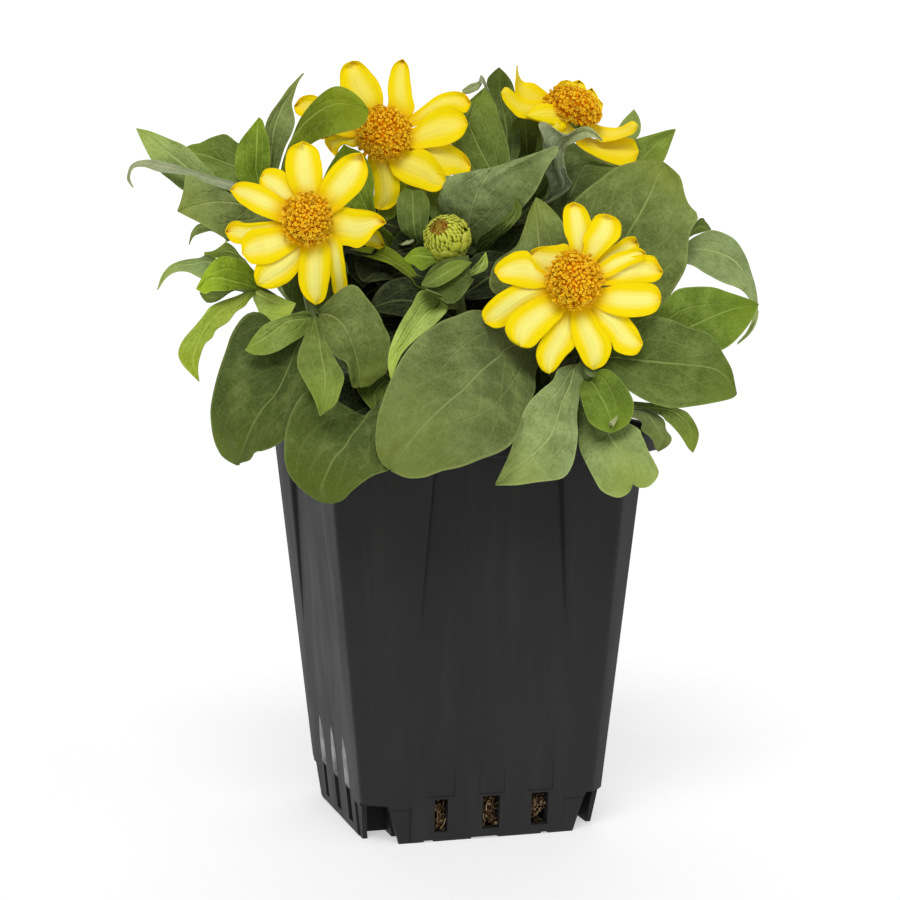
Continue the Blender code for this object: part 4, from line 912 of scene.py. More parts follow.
def plastic_material():
    m = Shader("black_plastic", 0.55, Specular_IOR_Level=0.1)
    dust = m.noise(70, 5, (1, 1, 0.3), 0.6)
    streak = m.noise(150, 4, (1, 1, 0.05), 0.6)
    colour = m.layers((0.024, 0.024, 0.0245), (dust, 0.4, 0.75, 0.45, (0.034, 0.033, 0.032)),
                      (streak, 0.5, 0.7, 0.18, (0.050, 0.048, 0.045)))
    height = m.weigh((m.noise(3200, 2), 0.25), (m.noise(60, 2), 0.9))
    return m.finish(colour, height, 0.00012, m.fade(dust, 0.3, 0.75, 0.46, 0.6))


def painted_highlight_material():
    """Pale grey in the scoops of the left side: a painted highlight where they catch the light."""
    m = Shader("painted_highlight_plastic", 0.45, Specular_IOR_Level=0.4)
    highlight_patches = m.noise(420, 4, (1, 1, 0.4))
    return m.finish(m.layers((0.55, 0.55, 0.54), (highlight_patches, 0.3, 0.7, 1, (0.25, 0.25, 0.245))))


def soil_material():
    """Coir and peat. look is how golden a bit of straw is, nothing, and how pale a crumb is."""
    m = Shader("coir_mix", 0.9, Specular_IOR_Level=0.1)
    golden, _, own = m.attribute("look")
    colour = m.layers((0.022, 0.012, 0.007), (m.noise(700, 4), 0.3, 0.7, 1, (0.09, 0.048, 0.024)))
    colour = m.mix(m.times(own, 0.4), colour, (0.17, 0.10, 0.05))
    colour = m.mix(golden, colour, (0.95, 0.66, 0.34))
    return m.finish(colour, m.noise(1500, 4), 0.0006)


GREEN_TOP = leaf_material("leaf_upper", (0.1, 0.12, 0.06), 0.0)
GREEN_UNDER = leaf_material("leaf_under", (0.22, 0.25, 0.15), 0.35)
STEM_GREEN = stem_material()
YELLOW_TOP = petal_material("petal_upper", (1.0, 0.93, 0.23), (0.97, 0.76, 0.0), (0.90, 0.50, 0.0))
YELLOW_UNDER = petal_material("petal_under", (0.86, 0.74, 0.10), (0.86, 0.66, 0.0), (0.78, 0.62, 0.02))
FLORET_ORANGE = floret_material("floret_orange", (0.78, 0.26, 0.0), (1.0, 0.48, 0.0),
                                (1.0, 0.56, 0.0), (1.0, 0.82, 0.06))
SCALE_GREEN = floret_material("scale_green", (0.12, 0.15, 0.015), (0.36, 0.42, 0.03), (0.62, 0.66, 0.06),
                              (0.85, 0.84, 0.2))
BLACK_PLASTIC = plastic_material()
PAINTED_HIGHLIGHT = painted_highlight_material()
COIR = soil_material()


# Shapes

def ramp(value, start, end):
    """How far value is on its way from start to end, from 0 to 1."""
    return min(max((value - start) / (end - start), 0), 1)


def heading(turn):
    """The level direction at a turn from +X, in radians."""
    return np.array((math.cos(turn), math.sin(turn), 0))


def turns_round(count):
    return np.linspace(0, math.tau, count, endpoint=False)


def circle(count):
    turns = turns_round(count)
    return np.stack([np.cos(turns), np.sin(turns), np.zeros(count)], -1)


def ring_round(centre, right, up, reach, turns):
    """The points round a centre at these turns from right towards up, each as far out as its reach."""
    return centre + right * (reach * np.cos(turns))[..., None] + up * (reach * np.sin(turns))[..., None]


def distances(line):
    """How far along a line each of its places lies."""
    return np.concatenate([[0], np.cumsum(np.linalg.norm(np.diff(line, axis=0), axis=1))])


def smooth_path(points, count):
    """count places, evenly spaced, on a smooth curve through the points."""
    p = np.array([tuple(point) for point in points], float)
    p = np.vstack([2 * p[0] - p[1], p, 2 * p[-1] - p[-2]])
    fine = []
    for a, b, c, d in zip(p, p[1:], p[2:], p[3:]):
        for t in np.linspace(0, 1, 16, endpoint=False):
            fine.append(b + ((c - a) * t + (2 * a - 5 * b + 4 * c - d) * t**2
                             + (3 * b - a - 3 * c + d) * t**3) / 2)
    fine = np.array(fine + [p[-2]])
    reach = distances(fine)
    wanted = np.linspace(0, reach[-1], count)
    return np.stack([np.interp(wanted, reach, column) for column in fine.T], -1)


def unit(vectors):
    return vectors / np.maximum(np.linalg.norm(vectors, axis=-1, keepdims=True), 1e-12)


def half_width(s, shape):
    """A blade's half width over its greatest, s of the way from its root to its tip."""
    root, tip = shape
    peak = root / (root + tip)
    s = np.clip(s, 1e-6, 1 - 1e-6)
    return (s / peak) ** root * ((1 - s) / (1 - peak)) ** tip


# The picture that the camera takes: its right, its up and its back, and its focal length in pixels
BACK = facing(CAMERA_AZIMUTH, CAMERA_ELEVATION)
RIGHT = unit(np.cross((0, 0, 1), BACK))
CAMERA_AXES = np.stack([RIGHT, np.cross(BACK, RIGHT), BACK])
FOCAL = CAMERA_LENS / CAMERA_SENSOR * PICTURE


def to_picture(points):
    """The pixels of points, across and down, and how far in front of the target each lies."""
    right, up, near = np.moveaxis((points - CAMERA_TARGET) @ CAMERA_AXES.T, -1, 0)
    size = FOCAL / (CAMERA_DISTANCE - near)
    return np.stack([PICTURE / 2 + right * size, PICTURE / 2 - up * size, near], -1)


def from_picture(spots):
    """The points at such pixels and depths."""
    across, down, near = np.moveaxis(spots, -1, 0)
    size = FOCAL / (CAMERA_DISTANCE - near)
    seen = np.stack([(across - PICTURE / 2) / size, (PICTURE / 2 - down) / size, near], -1)
    return seen @ CAMERA_AXES + CAMERA_TARGET


class Pile:
    """Closed shapes gathered into one mesh. Each is a row of rings from one end to the other, and its
    points keep two triples of numbers for the materials, place and look."""

    def __init__(self, *materials):
        self.materials = materials
        self.points, self.faces, self.slots, self.place, self.look = [], [], [], [], []
        self.count = 0

    def add(self, rings, place=(0, 0, 0), look=(0, 0, 0), slots=0, flat=False):
        """slots is a material's number, or one for each step round the rings. The ends of a flat shape
        are closed by strips across it, the ends of others by one face."""
        rows, around = rings.shape[:2]
        index = self.count + np.arange(rows * around).reshape(rows, around)
        here, ahead = index[:-1], index[1:]
        quads = np.stack([here, np.roll(here, -1, 1), np.roll(ahead, -1, 1), ahead], -1).reshape(-1, 4)
        steps = np.broadcast_to(slots, (rows - 1, around))
        ends = [index[0][::-1].tolist(), index[-1].tolist()]
        if flat:
            j = np.arange(around // 2 - 1)
            strip = np.stack([j, j + 1, around - 2 - j, around - 1 - j], -1)
            ends = index[0][strip[:, ::-1]].tolist() + index[-1][strip].tolist()
        self.faces += quads.tolist() + ends
        self.slots += steps.reshape(-1).tolist() + [int(steps[0, 0])] * len(ends)
        self.points.append(rings.reshape(-1, 3))
        self.place.append(np.broadcast_to(place, rings.shape).reshape(-1, 3))
        self.look.append(np.broadcast_to(look, rings.shape).reshape(-1, 3))
        self.count += rows * around

    def piece(self, name, node, sharp=None):
        """The finished mesh, as a piece that rides on the root and stands for a CAD node. Edges sharper than
        sharp, in degrees, stay sharp."""
        mesh = bpy.data.meshes.new(name)
        mesh.from_pydata(np.concatenate(self.points).tolist(), [], self.faces)
        for material in self.materials:
            mesh.materials.append(material)
        mesh.polygons.foreach_set("material_index", self.slots)
        for kind, rows in (("place", self.place), ("look", self.look)):
            made = mesh.attributes.new(kind, "FLOAT_VECTOR", "POINT")
            made.data.foreach_set("vector", np.concatenate(rows).astype(np.float32).reshape(-1))
        bm = bmesh.new()
        bm.from_mesh(mesh)
        bmesh.ops.recalc_face_normals(bm, faces=bm.faces)
        bm.to_mesh(mesh)
        bm.free()
        mesh.shade_smooth()
        if sharp:
            mesh.set_sharp_from_angle(angle=math.radians(sharp))
        obj = add_object(name, mesh)
        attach(obj, "root")
        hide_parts(node)
        return obj


def add_object(name, data):
    obj = bpy.data.objects.new(name, data)
    bpy.context.scene.collection.objects.link(obj)
    return obj


def along_rows(rows, s):
    """rows, read at s from 0 to 1."""
    at = np.clip(s, 0, 1) * (len(rows) - 1)
    return np.stack([np.interp(at, np.arange(len(rows)), column) for column in rows.T], -1)


def sheet_normals(points, out):
    """The normals of a grid of points, on the side that out looks to."""
    normals = np.cross(np.gradient(points, axis=1), np.gradient(points, axis=0))
    small = np.linalg.norm(normals, axis=-1, keepdims=True) < 1e-13
    normals = np.where(small, 0, unit(normals))
    normals = normals * (1.0 if np.sum(normals * out) > 0 else -1.0)
    return unit(normals + 0.15 * out)


def blade_sheet(path, half, face, s, t, fold, curl=0.0, skew=0.0, wave=0.0):
    """The middle surface of a blade as the CAD has it, with its upward normals: for arrays of s from root to
    tip, of t from edge to edge, and of half widths."""
    line = smooth_path(path, LINE_PLACES)
    ahead = unit(np.gradient(line, axis=0))
    up = unit(np.array(face, float) - (ahead @ face)[:, None] * ahead)
    middle, side, out = (along_rows(rows, s) for rows in (line, np.cross(ahead, up), up))
    lift = math.radians(fold)
    reach = half * t * (1 + skew * np.sign(t))
    height = half * (np.abs(t) * math.sin(lift) + curl * t * t)
    height = height + wave * t * t * np.sin(WAVES * s + np.where(t > 0, 1.6, 0)) * 4 * s * (1 - s)
    points = middle + side * (reach * math.cos(lift))[..., None] + out * height[..., None]
    return points, sheet_normals(points, out)


def closed_blade(pile, points, normals, upper, lower, s, t, look):
    """Adds a blade to the pile: its upper skin, then its lower skin back the other way. They lie as far above
    and below the middle surface as upper and lower say."""
    top = points + normals * upper[..., None]
    under = points - normals * lower[..., None]
    middle = points.shape[1] // 2
    apart = np.linalg.norm(points - points[:, middle:middle + 1], axis=-1) / MM
    place = np.stack([s, t, apart], -1)
    rings = np.concatenate([top, under[:, ::-1]], axis=1)
    places = np.concatenate([place, place[:, ::-1]], axis=1)
    columns = points.shape[1]
    slots = [0] * columns + [1] * (columns - 1) + [0]
    pile.add(rings, places, look, slots, flat=True)


def ripple(rng, s, t, count=5):
    """A soft uneven relief over a blade, between -1 and 1: the mean of this many waves."""
    total = np.zeros_like(s)
    for _ in range(count):
        a, b = rng.uniform(4, 16), rng.uniform(2, 7)
        total += np.sin(a * s + b * t * rng.choice((-1, 1)) + rng.uniform(0, math.tau))
    return total / count


def place_on(line, height):
    """Where a stem's line is at this height."""
    return np.array([np.interp(height, line[:, 2], line[:, k]) for k in range(2)] + [height])


def leaf_points(stem, one):
    """The places that a leaf's midrib passes through, in metres."""
    root = place_on(smooth_path(stem["route"], 200), one["height"])
    if one["path"]:
        return np.array([root] + list(one["path"])) * MM
    way, rise = one["way"], one["rise"]
    return np.array([root, root + way * 0.55 + rise, root + way + rise * 0.7]) * MM


def fit_outline(points, t, outline, wider=0):
    """Moves a blade's points across the picture to the outline that the photograph shows. Each keeps its
    distance from the camera. An outline of two edges has its midrib half way between them. Over the first
    0.7 of its length the blade is up to this many pixels wider on each side, where its neighbours hide it."""
    if len(outline) == 2:
        a, b = (smooth_path(line, 9) for line in outline)
        outline = ((a + b) / 2, *outline)
    spots = to_picture(points)
    middle = spots[:, points.shape[1] // 2, :2]
    run = distances(middle)
    # The first and last rows stay just inside the ends, where the edges would meet in one point
    short = 0.004
    part = short + (1 - 2 * short) * run / run[-1]
    rib, a, b = (along_rows(smooth_path([middle[0]] + list(line), LINE_PLACES), part) for line in outline)
    left, right = spots[:, 0, :2], spots[:, -1, :2]
    if np.abs(a - left).sum() + np.abs(b - right).sum() > np.abs(b - left).sum() + np.abs(a - right).sum():
        a, b = b, a
    edge = np.where(t[..., None] < 0, a[:, None], b[:, None]) - rib[:, None]
    edge = edge + unit(edge) * (wider * np.clip(1 - part / 0.7, 0, 1) ** 0.6)[:, None, None]
    spots[..., :2] = rib[:, None] + np.abs(t)[..., None] * edge
    return from_picture(spots)


def add_leaf(pile, stem, one, rng, outline=None):
    """A leaf, with more rows and columns where an outline shapes it."""
    path = leaf_points(stem, one)
    rows = int(min(MOST_ROWS, max(FEWEST_ROWS, distances(path)[-1] / MM))) if outline else FEWEST_ROWS
    columns = MANY_COLUMNS if outline and one["width"] > WIDE_LEAF else FEW_COLUMNS
    x = np.linspace(-1, 1, columns)
    s, t = np.meshgrid(np.linspace(0, 1, rows), np.sign(x) * np.abs(x) ** 0.9, indexing="ij")
    # The rows lie closer together towards the root and the tip
    s = s + 0.3 * s * (1 - s) * (2 * s - 1)
    width = one["width"] * MM
    half = np.maximum(width / 2 * half_width(s, one["shape"]), 0.2 * MM)
    points, normals = blade_sheet(path, half, facing(*one["face"]), s, t, one["fold"], skew=one["skew"],
                                  wave=one["wave"] * MM)
    if outline:
        points = fit_outline(points, t, outline)
        normals = sheet_normals(points, normals)
        normals[0], normals[-1] = normals[1], normals[-2]
    inside = (1 - t**4) * np.sin(np.pi * np.clip(s, 0, 1)) ** 0.5
    points = points + normals * (ripple(rng, s, t) * LEAF_RIPPLE * width * inside)[..., None]
    away = np.linalg.norm(points - points[:, columns // 2:columns // 2 + 1], axis=-1)
    rib = np.exp(-((away / RIB_REACH) ** 2)) * (1 - 0.75 * s)
    thin = LEAF_THICK / 2 * (1 - 0.55 * np.abs(t) ** 5)
    look = np.array(TINTS[one["tint"]]) * rng.uniform(*LEAF_BRIGHTER)
    closed_blade(pile, points, normals, thin - RIB_GROOVE * rib, thin + RIB_KEEL * rib, s, t, look)


def add_tube(pile, route, radii, look):
    """A stem: a tube with five soft ribs, which tapers from its foot to its top."""
    line = smooth_path(route, max(8, int(distances(route)[-1] / MM / STEM_STEP)))
    ahead = unit(np.gradient(line, axis=0))
    right = unit(np.cross(ahead, (0.3, 1, 0.2)))
    up = np.cross(ahead, right)
    turns = turns_round(STEM_SIDES)
    radius = np.interp(np.linspace(0, 1, len(line)), (0, 1), radii)[:, None]
    radius = radius * (1 + 0.05 * np.cos(5 * turns)[None])
    rings = ring_round(line[:, None], right[:, None], up[:, None], radius, turns)
    pile.add(rings, (0, 0, 0), look, STEM_SKIN)


def add_bract(pile, foot, tip, out, width, look, shape=(0.3, 0.35), bulge=0.12):
    """A small scale that lies along the way from foot to tip and bulges out."""
    s, t = np.meshgrid(np.linspace(0, 1, 7), np.linspace(-1, 1, 5), indexing="ij")
    middle = (foot + tip) / 2 + out * bulge * np.linalg.norm(tip - foot)
    half = np.maximum(width / 2 * half_width(s, shape), 0.1 * MM)
    points, normals = blade_sheet([foot, middle, tip], half, out, s, t, -18)
    thin = np.full(s.shape, 0.2 * MM)
    closed_blade(pile, points, normals, thin, thin, s, t, look)


def frame_round(out):
    """Right, up and out, for something that faces out."""
    right = unit(np.cross((0, 0, 1), out))
    return np.stack([right, np.cross(out, right), out])


def bloom_frame(bloom):
    """The top of a bloom's cup, and right, up and out there."""
    axes = frame_round(facing(*bloom["face"]))
    top = np.array(LEAFY_STEMS[bloom["stem"]]["route"][-1]) * MM
    return top + axes[2] * (CUP_DEPTH * 2 / 3 + GAP), axes


def add_cup(pile, bloom, stem_radius, rng):
    """The green cup under a bloom: a smooth core with rows of overlapping bracts."""
    base, axes = bloom_frame(bloom)
    base = base - axes[2] * GAP
    profile = [(1.0, stem_radius), (0.85, stem_radius * 1.3), (0.6, CUP_RADIUS * 0.74),
               (0.3, CUP_RADIUS * 0.93), (0.05, CUP_RADIUS * 0.97), (0.0, CUP_RADIUS * 0.8)]
    rings = np.stack([circle(20) * radius - (0, 0, depth * CUP_DEPTH) for depth, radius in profile])
    pile.add(rings @ axes + base, (0.4, 0, 5), TINTS["mid"], STEM_SKIN)
    # Each row: how many bracts, how deep their feet and tips lie in the cup, how far out the tips stand
    rows = ((8, 0.95, 0.42, 0.92), (10, 0.75, 0.15, 1.02), (12, 0.5, -0.1, 1.06))
    for row, (count, low, high, size) in enumerate(rows):
        for number in range(count):
            turn = math.tau * (number + 0.5 * (row % 2)) / count + rng.uniform(-0.08, 0.08)
            around = heading(turn)
            foot = around * (stem_radius + (CUP_RADIUS - stem_radius) * (1 - low)) - (0, 0, low * CUP_DEPTH)
            tip = around * CUP_RADIUS * size - (0, 0, high * CUP_DEPTH)
            look = np.array(TINTS["mid"]) * rng.uniform(0.8, 1.5)
            add_bract(pile, foot @ axes + base, tip @ axes + base, around @ axes, BRACT_WIDTH, look)


def inner_leaves(stem, turn, bare):
    """Dark leaves in threes, low on a stem, whose top stays bare, their darkness painted shade: nearly black in
    front, dark green further back. They turn back where they would show outside the bush."""
    line = np.array(stem["route"])
    leaves = []
    for level, height in enumerate(INNER_HEIGHTS):
        root = place_on(line, height)
        if height > line[-1, 2] - bare or root[1] < INNER_FOREMOST:
            continue
        root[2] = 0
        for side in range(3):
            way = facing(turn + LEVEL_TURN * level + 120 * side, 0) * INNER_LENGTH
            way = np.where(np.abs(root + way - INNER_MIDDLE) > INNER_REACH, -way, way)
            front = INNER_MIDDLE[1] - INNER_REACH[1] + INNER_STEP_BACK * (height - INNER_HEIGHTS[0])
            if root[1] + way[1] < front:
                way[1] = abs(way[1])
            way[2] = 0
            # Painted shade: a nearly black leaf in front, a dark green one further back.
            tint = "deep" if root[1] + way[1] > INNER_LIT else "painted_shade_black"
            leaves.append(out_and_up(height, way, np.array((0, 0, INNER_RISE)), INNER_WIDTH, (-16, 42),
                                     wave=0.5, tint=tint))
    return leaves


def build_leafy_stem(name, number, rng):
    """A stem with its leaves, and the cup of the bloom on its top."""
    stem = LEAFY_STEMS[name]
    pile = Pile(GREEN_TOP, GREEN_UNDER, STEM_GREEN)
    radii = [radius * MM for radius in stem["radii"]]
    blooms = [bloom for bloom in BLOOMS.values() if bloom["stem"] == name]
    add_tube(pile, np.array(stem["route"]) * MM, radii, TINTS["mid"])
    for index, one in enumerate(stem["leaves"]):
        add_leaf(pile, stem, one, rng, OUTLINES.get(name, {}).get(index))
    for grower, one, *edges in SMALL_LEAVES:
        if grower == name:
            add_leaf(pile, stem, one, rng, *edges)
    if name not in REAR_SHOOTS:
        bare = BARE_TOP_BLOOM if blooms or name == "stem_centre_shoot" else BARE_TOP
        for one in inner_leaves(stem, STEM_TURN * number, bare):
            add_leaf(pile, stem, one, rng)
    if name == "stem_right_bloom":
        add_tube(pile, np.array(CUT_STUB) * MM, np.array(CUT_STUB_RADII) * MM, TINTS["pale"])
    for bloom in blooms:
        add_cup(pile, bloom, radii[1], rng)
    return pile.piece(name + "_foliage", name, sharp=50)


def add_petal(pile, petal, layer, base, axes, creamy, rng, outline=None):
    """One petal: slim at its foot, full and rounded at its end, with two small notches there."""
    angle, length, width, back = petal
    slim = width < SLIM_PETAL
    way = heading(math.radians(angle))
    height = HUB_THICK * (0.3 + 0.35 * layer) - (1.5 * MM if slim else 0)
    bend = math.tan(math.radians(back))
    path = []
    for part in (0.08, 0.4, 0.7, 1.0):
        reach = length * MM * part
        rise = 0.04 * length * MM * math.sin(math.pi * part)
        path.append(way * reach + (0, 0, height + rise - bend * reach * part**1.5))
    x = np.linspace(-1, 1, PETAL_COLUMNS)
    s, t = np.meshgrid(np.linspace(0, 1, PETAL_ROWS), np.sin(x * np.pi / 2), indexing="ij")
    # Its end is rounded, with the notches, and it widens up to 0.62 of its length
    short = min(0.6 * width / length, 0.32) * (1 - np.sqrt(np.maximum(1 - t * t, 0)))
    for centre in (rng.uniform(-0.5, -0.1), rng.uniform(0.1, 0.5)):
        short = short + rng.uniform(0.01, 0.035) * np.exp(-(((t - centre) / 0.13) ** 2))
    s = s * (1 - short * s**3)
    grow = 0.36 + 0.64 * np.sin(np.pi / 2 * np.clip(s / 0.62, 0, 1))
    half = width / 2 * MM * grow * (1 - 0.14 * np.clip(s - 0.62, 0, 1))
    points, normals = blade_sheet(path, half, (0, 0, 1), s, t, rng.uniform(-9, -2), curl=0.1)
    pleats = 0.012 * np.cos(7.5 * t) * np.sin(np.pi * np.clip(s, 0, 1)) ** 0.6
    uneven = 0.035 * ripple(rng, s, t, 4) * s
    points = points + normals * ((pleats + uneven) * width * MM)[..., None]
    thin = PETAL_THICK / 2 * (1 - 0.5 * np.abs(t) ** 5)
    look = (creamy, 0.35 if slim else 0, rng.uniform(0, 6))
    points, normals = points @ axes + base, normals @ axes
    if outline:
        points = fit_outline(points, t, outline, PETAL_LAP)
        normals = sheet_normals(points, normals)
        normals[-3:] = normals[-4]
    closed_blade(pile, points, normals, thin, thin, s, t, look)


def build_rays(name, bloom, rng):
    """The petals of a bloom, low and high by turns, on one small hub."""
    pile = Pile(YELLOW_TOP, YELLOW_UNDER)
    base, axes = bloom_frame(bloom)
    hub = ((0, 4.6), (0.2, 5.2), (1.2, 6.1), (2.1, 6.1), (2.2, 5.6))
    rings = np.stack([circle(24) * radius * MM + (0, 0, z * MM) for z, radius in hub])
    pile.add(rings @ axes + base, (0.1, 0, 3), (0, 0, 0), 1)
    for number, petal in enumerate(bloom["petals"]):
        add_petal(pile, petal, number % 2, base, axes, bloom.get("creamy", 1), rng,
                  PETAL_OUTLINES.get(name, {}).get(number))
    return pile.piece(name + "_petals", name, sharp=50)


def add_floret(pile, foot, out, length, radius, flare, look, rng):
    """A floret: a slim bell that stands along out, open in five lobes at its top by flare, or closed."""
    side = unit(np.cross(out, (0.31, 0.87, 0.4)))
    up = np.cross(out, side)
    steps = turns_round(10)
    turns = steps + rng.uniform(0, math.tau)
    # How far up each ring lies, its radius, how deep its lobes are, and its tone from foot to tip
    profile = [(0.0, 0.5, 0, 0), (0.6, 0.62, 0, 0.35), (0.85, 0.85, 0.1 * flare, 0.7),
               (1.0, 0.62 + 0.6 * flare, 0.42 * flare, 1.0), (0.98 - 0.08 * flare, 0.42, 0, 0.85),
               (0.9 - 0.25 * flare, 0.1, 0, 0.55 - 0.45 * flare)]
    rings = [ring_round(foot + out * z * length, side, up, radius * (r + lobe * np.cos(5 * steps)), turns)
             for z, r, lobe, tone in profile]
    places = [np.tile((tone, 0, 0), (len(steps), 1)) for z, r, lobe, tone in profile]
    pile.add(np.stack(rings), np.stack(places), look)


def build_disc(name, bloom, rng):
    """The dome of florets, set in a spiral as a flower head has them: open round the rim, closed on top."""
    pile = Pile(FLORET_ORANGE)
    radius, height = (size * MM for size in bloom["disc"])
    base, axes = bloom_frame(bloom)
    base = base + axes[2] * (HUB_THICK + 4 * GAP) + np.array(bloom.get("shift", (0, 0, 0))) * MM
    foot = 0.9 * MM
    inner_radius, inner_height = radius * DISC_CORE, height * DISC_CORE
    rings = [circle(28) * inner_radius * 0.9] + [
        circle(28) * inner_radius * math.cos(a) + (0, 0, foot + inner_height * math.sin(a))
        for a in np.linspace(0, 1.53, 8)]
    pile.add(np.stack(rings) @ axes + base, (0.1, 0, 0))
    for index in range(FLORETS):
        part = (index + 0.5) / FLORETS
        tilt = math.acos(1 - part)
        around = heading(index * GOLDEN_TURN)
        spot = around * inner_radius * math.sin(tilt) + (0, 0, foot + inner_height * math.cos(tilt))
        out = around * math.sin(tilt) / inner_radius + np.array((0, 0, math.cos(tilt) / inner_height))
        out = unit(unit(out) + rng.normal(0, FLORET_LEAN, 3))
        flare = rng.uniform(0.5, 1.0) if part > rng.uniform(0.2, 0.5) else rng.uniform(0, 0.3)
        length = rng.uniform(1.5, 3.1) * MM * (0.82 + 0.3 * part)
        look = (rng.uniform(0.3, 1), rng.uniform(0, 1) ** 4 * 0.5, rng.uniform())
        add_floret(pile, (spot - out * 0.7 * MM) @ axes + base, out @ axes, length,
                   rng.uniform(0.45, 0.66) * MM, flare, look, rng)
    return pile.piece(name + "_florets", name, sharp=60)


def build_bud(rng):
    """The bud: broad bracts round a ball, pale pointed scales above them, and a withered crown."""
    pile = Pile(SCALE_GREEN, SCALE_GREEN)  # One for each skin of a scale
    top = np.array(LEAFY_STEMS["stem_bud"]["route"][-1]) * MM
    middle = top + facing(*BUD_FACE) * (BUD_RADIUS + 5 * GAP)
    axes = frame_round(facing(*BUD_CROWN))
    ball = BUD_RADIUS * 0.93
    rings = np.stack([circle(24) * math.cos(a) * ball + (0, 0, math.sin(a) * ball)
                      for a in np.linspace(-1.5, 1.5, 12)])
    pile.add(rings @ axes + middle, (0.25, 0, 0), (0, 0, 0.5))
    for tilt, count, length, width, shape, brown in BUD_ROWS:
        for number in range(count):
            turn = math.tau * (number + rng.uniform(-0.2, 0.2) + 0.5 * (tilt % 2)) / count
            lean = math.radians(tilt + rng.uniform(-3, 3))
            around = heading(turn)
            out = around * math.sin(lean) + (0, 0, math.cos(lean))
            upward = -around * math.cos(lean) + (0, 0, math.sin(lean))
            foot = out * ball * 0.97 - upward * length * 0.45 * MM
            tip = out * (BUD_RADIUS + 0.35 * MM) + upward * length * 0.55 * MM
            look = (rng.uniform(0.4, 1), brown * rng.uniform(0.7, 1), rng.uniform())
            add_bract(pile, foot @ axes + middle, tip @ axes + middle, out @ axes, width * MM, look,
                      shape, bulge=0.2)
    return pile.piece("bud_scales", "bud", sharp=60)


# The pot and its soil

def pot_half(z):
    return FOOT_HALF + SIDE_FLARE * z


def rounded_ring(corners, z):
    """A closed outline with its corners rounded, each over the same number of points."""
    ring = []
    for before, corner, after in zip(np.roll(corners, 1, 0), corners, np.roll(corners, -1, 0)):
        ends = []
        for other in (before, after):
            away = np.linalg.norm(other - corner)
            ends.append(corner + (other - corner) / away * min(CORNER_ROUND, away * 0.4))
        for t in np.linspace(0, 1, CORNER_PLACES):
            ring.append((1 - t) ** 2 * ends[0] + 2 * t * (1 - t) * corner + t * t * ends[1])
    return np.column_stack([np.array(ring), np.full(len(ring), z)])


def pot_ring(z, inset=0.0, proud=0.0):
    """The pot's outline at height z, moved in by inset and out by proud. Inside, its corners are cut back
    further below the shoulder, where the corners of the foot are notched, and the wall is thicker."""
    half = pot_half(z) + proud - inset
    cut = CORNER_CUT + CORNER_FLARE * z
    if inset:
        low = ramp(z, SHOULDER + 5 * MM, SHOULDER + 2 * MM)
        cut = cut + (INNER_CUT - cut) * low
        more = THICK_FOOT * ramp(z, ARCH_TOP + 8 * MM, ARCH_TOP + 2 * MM)
        half -= more
        inset += more
    part = 0 if proud else ramp(z, PANEL_FOOT, RIM_FOOT)
    sink = PANEL_SINK * part
    corner = half - cut + inset * (2 - math.sqrt(2)) * (1 - low if inset else 1)
    panel_half = PANEL_HALF_FOOT + (PANEL_HALF_TOP - PANEL_HALF_FOOT) * part
    panel_half = min(panel_half, corner - 2.2 * PANEL_STEP)
    step = panel_half + PANEL_STEP
    crease = sink + CREASE * min(part * 3, 1)
    side = [(-corner, -half), (-step, -half), (-panel_half, crease - half)]
    side.append((PANEL_STEP - panel_half, sink - half))
    side += [(-x, y) for x, y in side[::-1]]
    ring = []
    for _ in range(4):
        ring += side
        side = [(-y, x) for x, y in side]
    return rounded_ring(np.array(ring), z)


def pot_rings(start, end, count, inset=0.0):
    return [pot_ring(z, inset) for z in np.linspace(start, end, count)]


def closing_ring(ring):
    """The same ring drawn together to almost a point, which closes a floor."""
    return ring * (0.02, 0.02, 1)


def add_prism(bm, turn, near, far, material=0):
    """A solid between two outlines with as many places each, turned to one side of the pot."""
    near, far = ([bm.verts.new(turn @ Vector(place)) for place in row] for row in (near, far))
    faces = [bm.faces.new((near[i - 1], near[i], far[i], far[i - 1])) for i in [*range(1, len(near)), 0]]
    for face in faces + [bm.faces.new(near[::-1]), bm.faces.new(far)]:
        face.material_index = material


def add_cutter(bm, turn, outline, far=4 * MM, material=0):
    """A prism into the side of the pot, from far outside it, or inside where far is less than nothing.
    Each place of its outline is x, z and how deep it goes there."""
    add_prism(bm, turn, [(x, -(pot_half(z) - deep), z) for x, z, deep in outline],
              [(x, -(pot_half(z) + far), z) for x, z, deep in outline], material)


def box_outline(x, half, low, high, deep):
    return [(x - half, low, deep), (x + half, low, deep), (x + half, high, deep), (x - half, high, deep)]


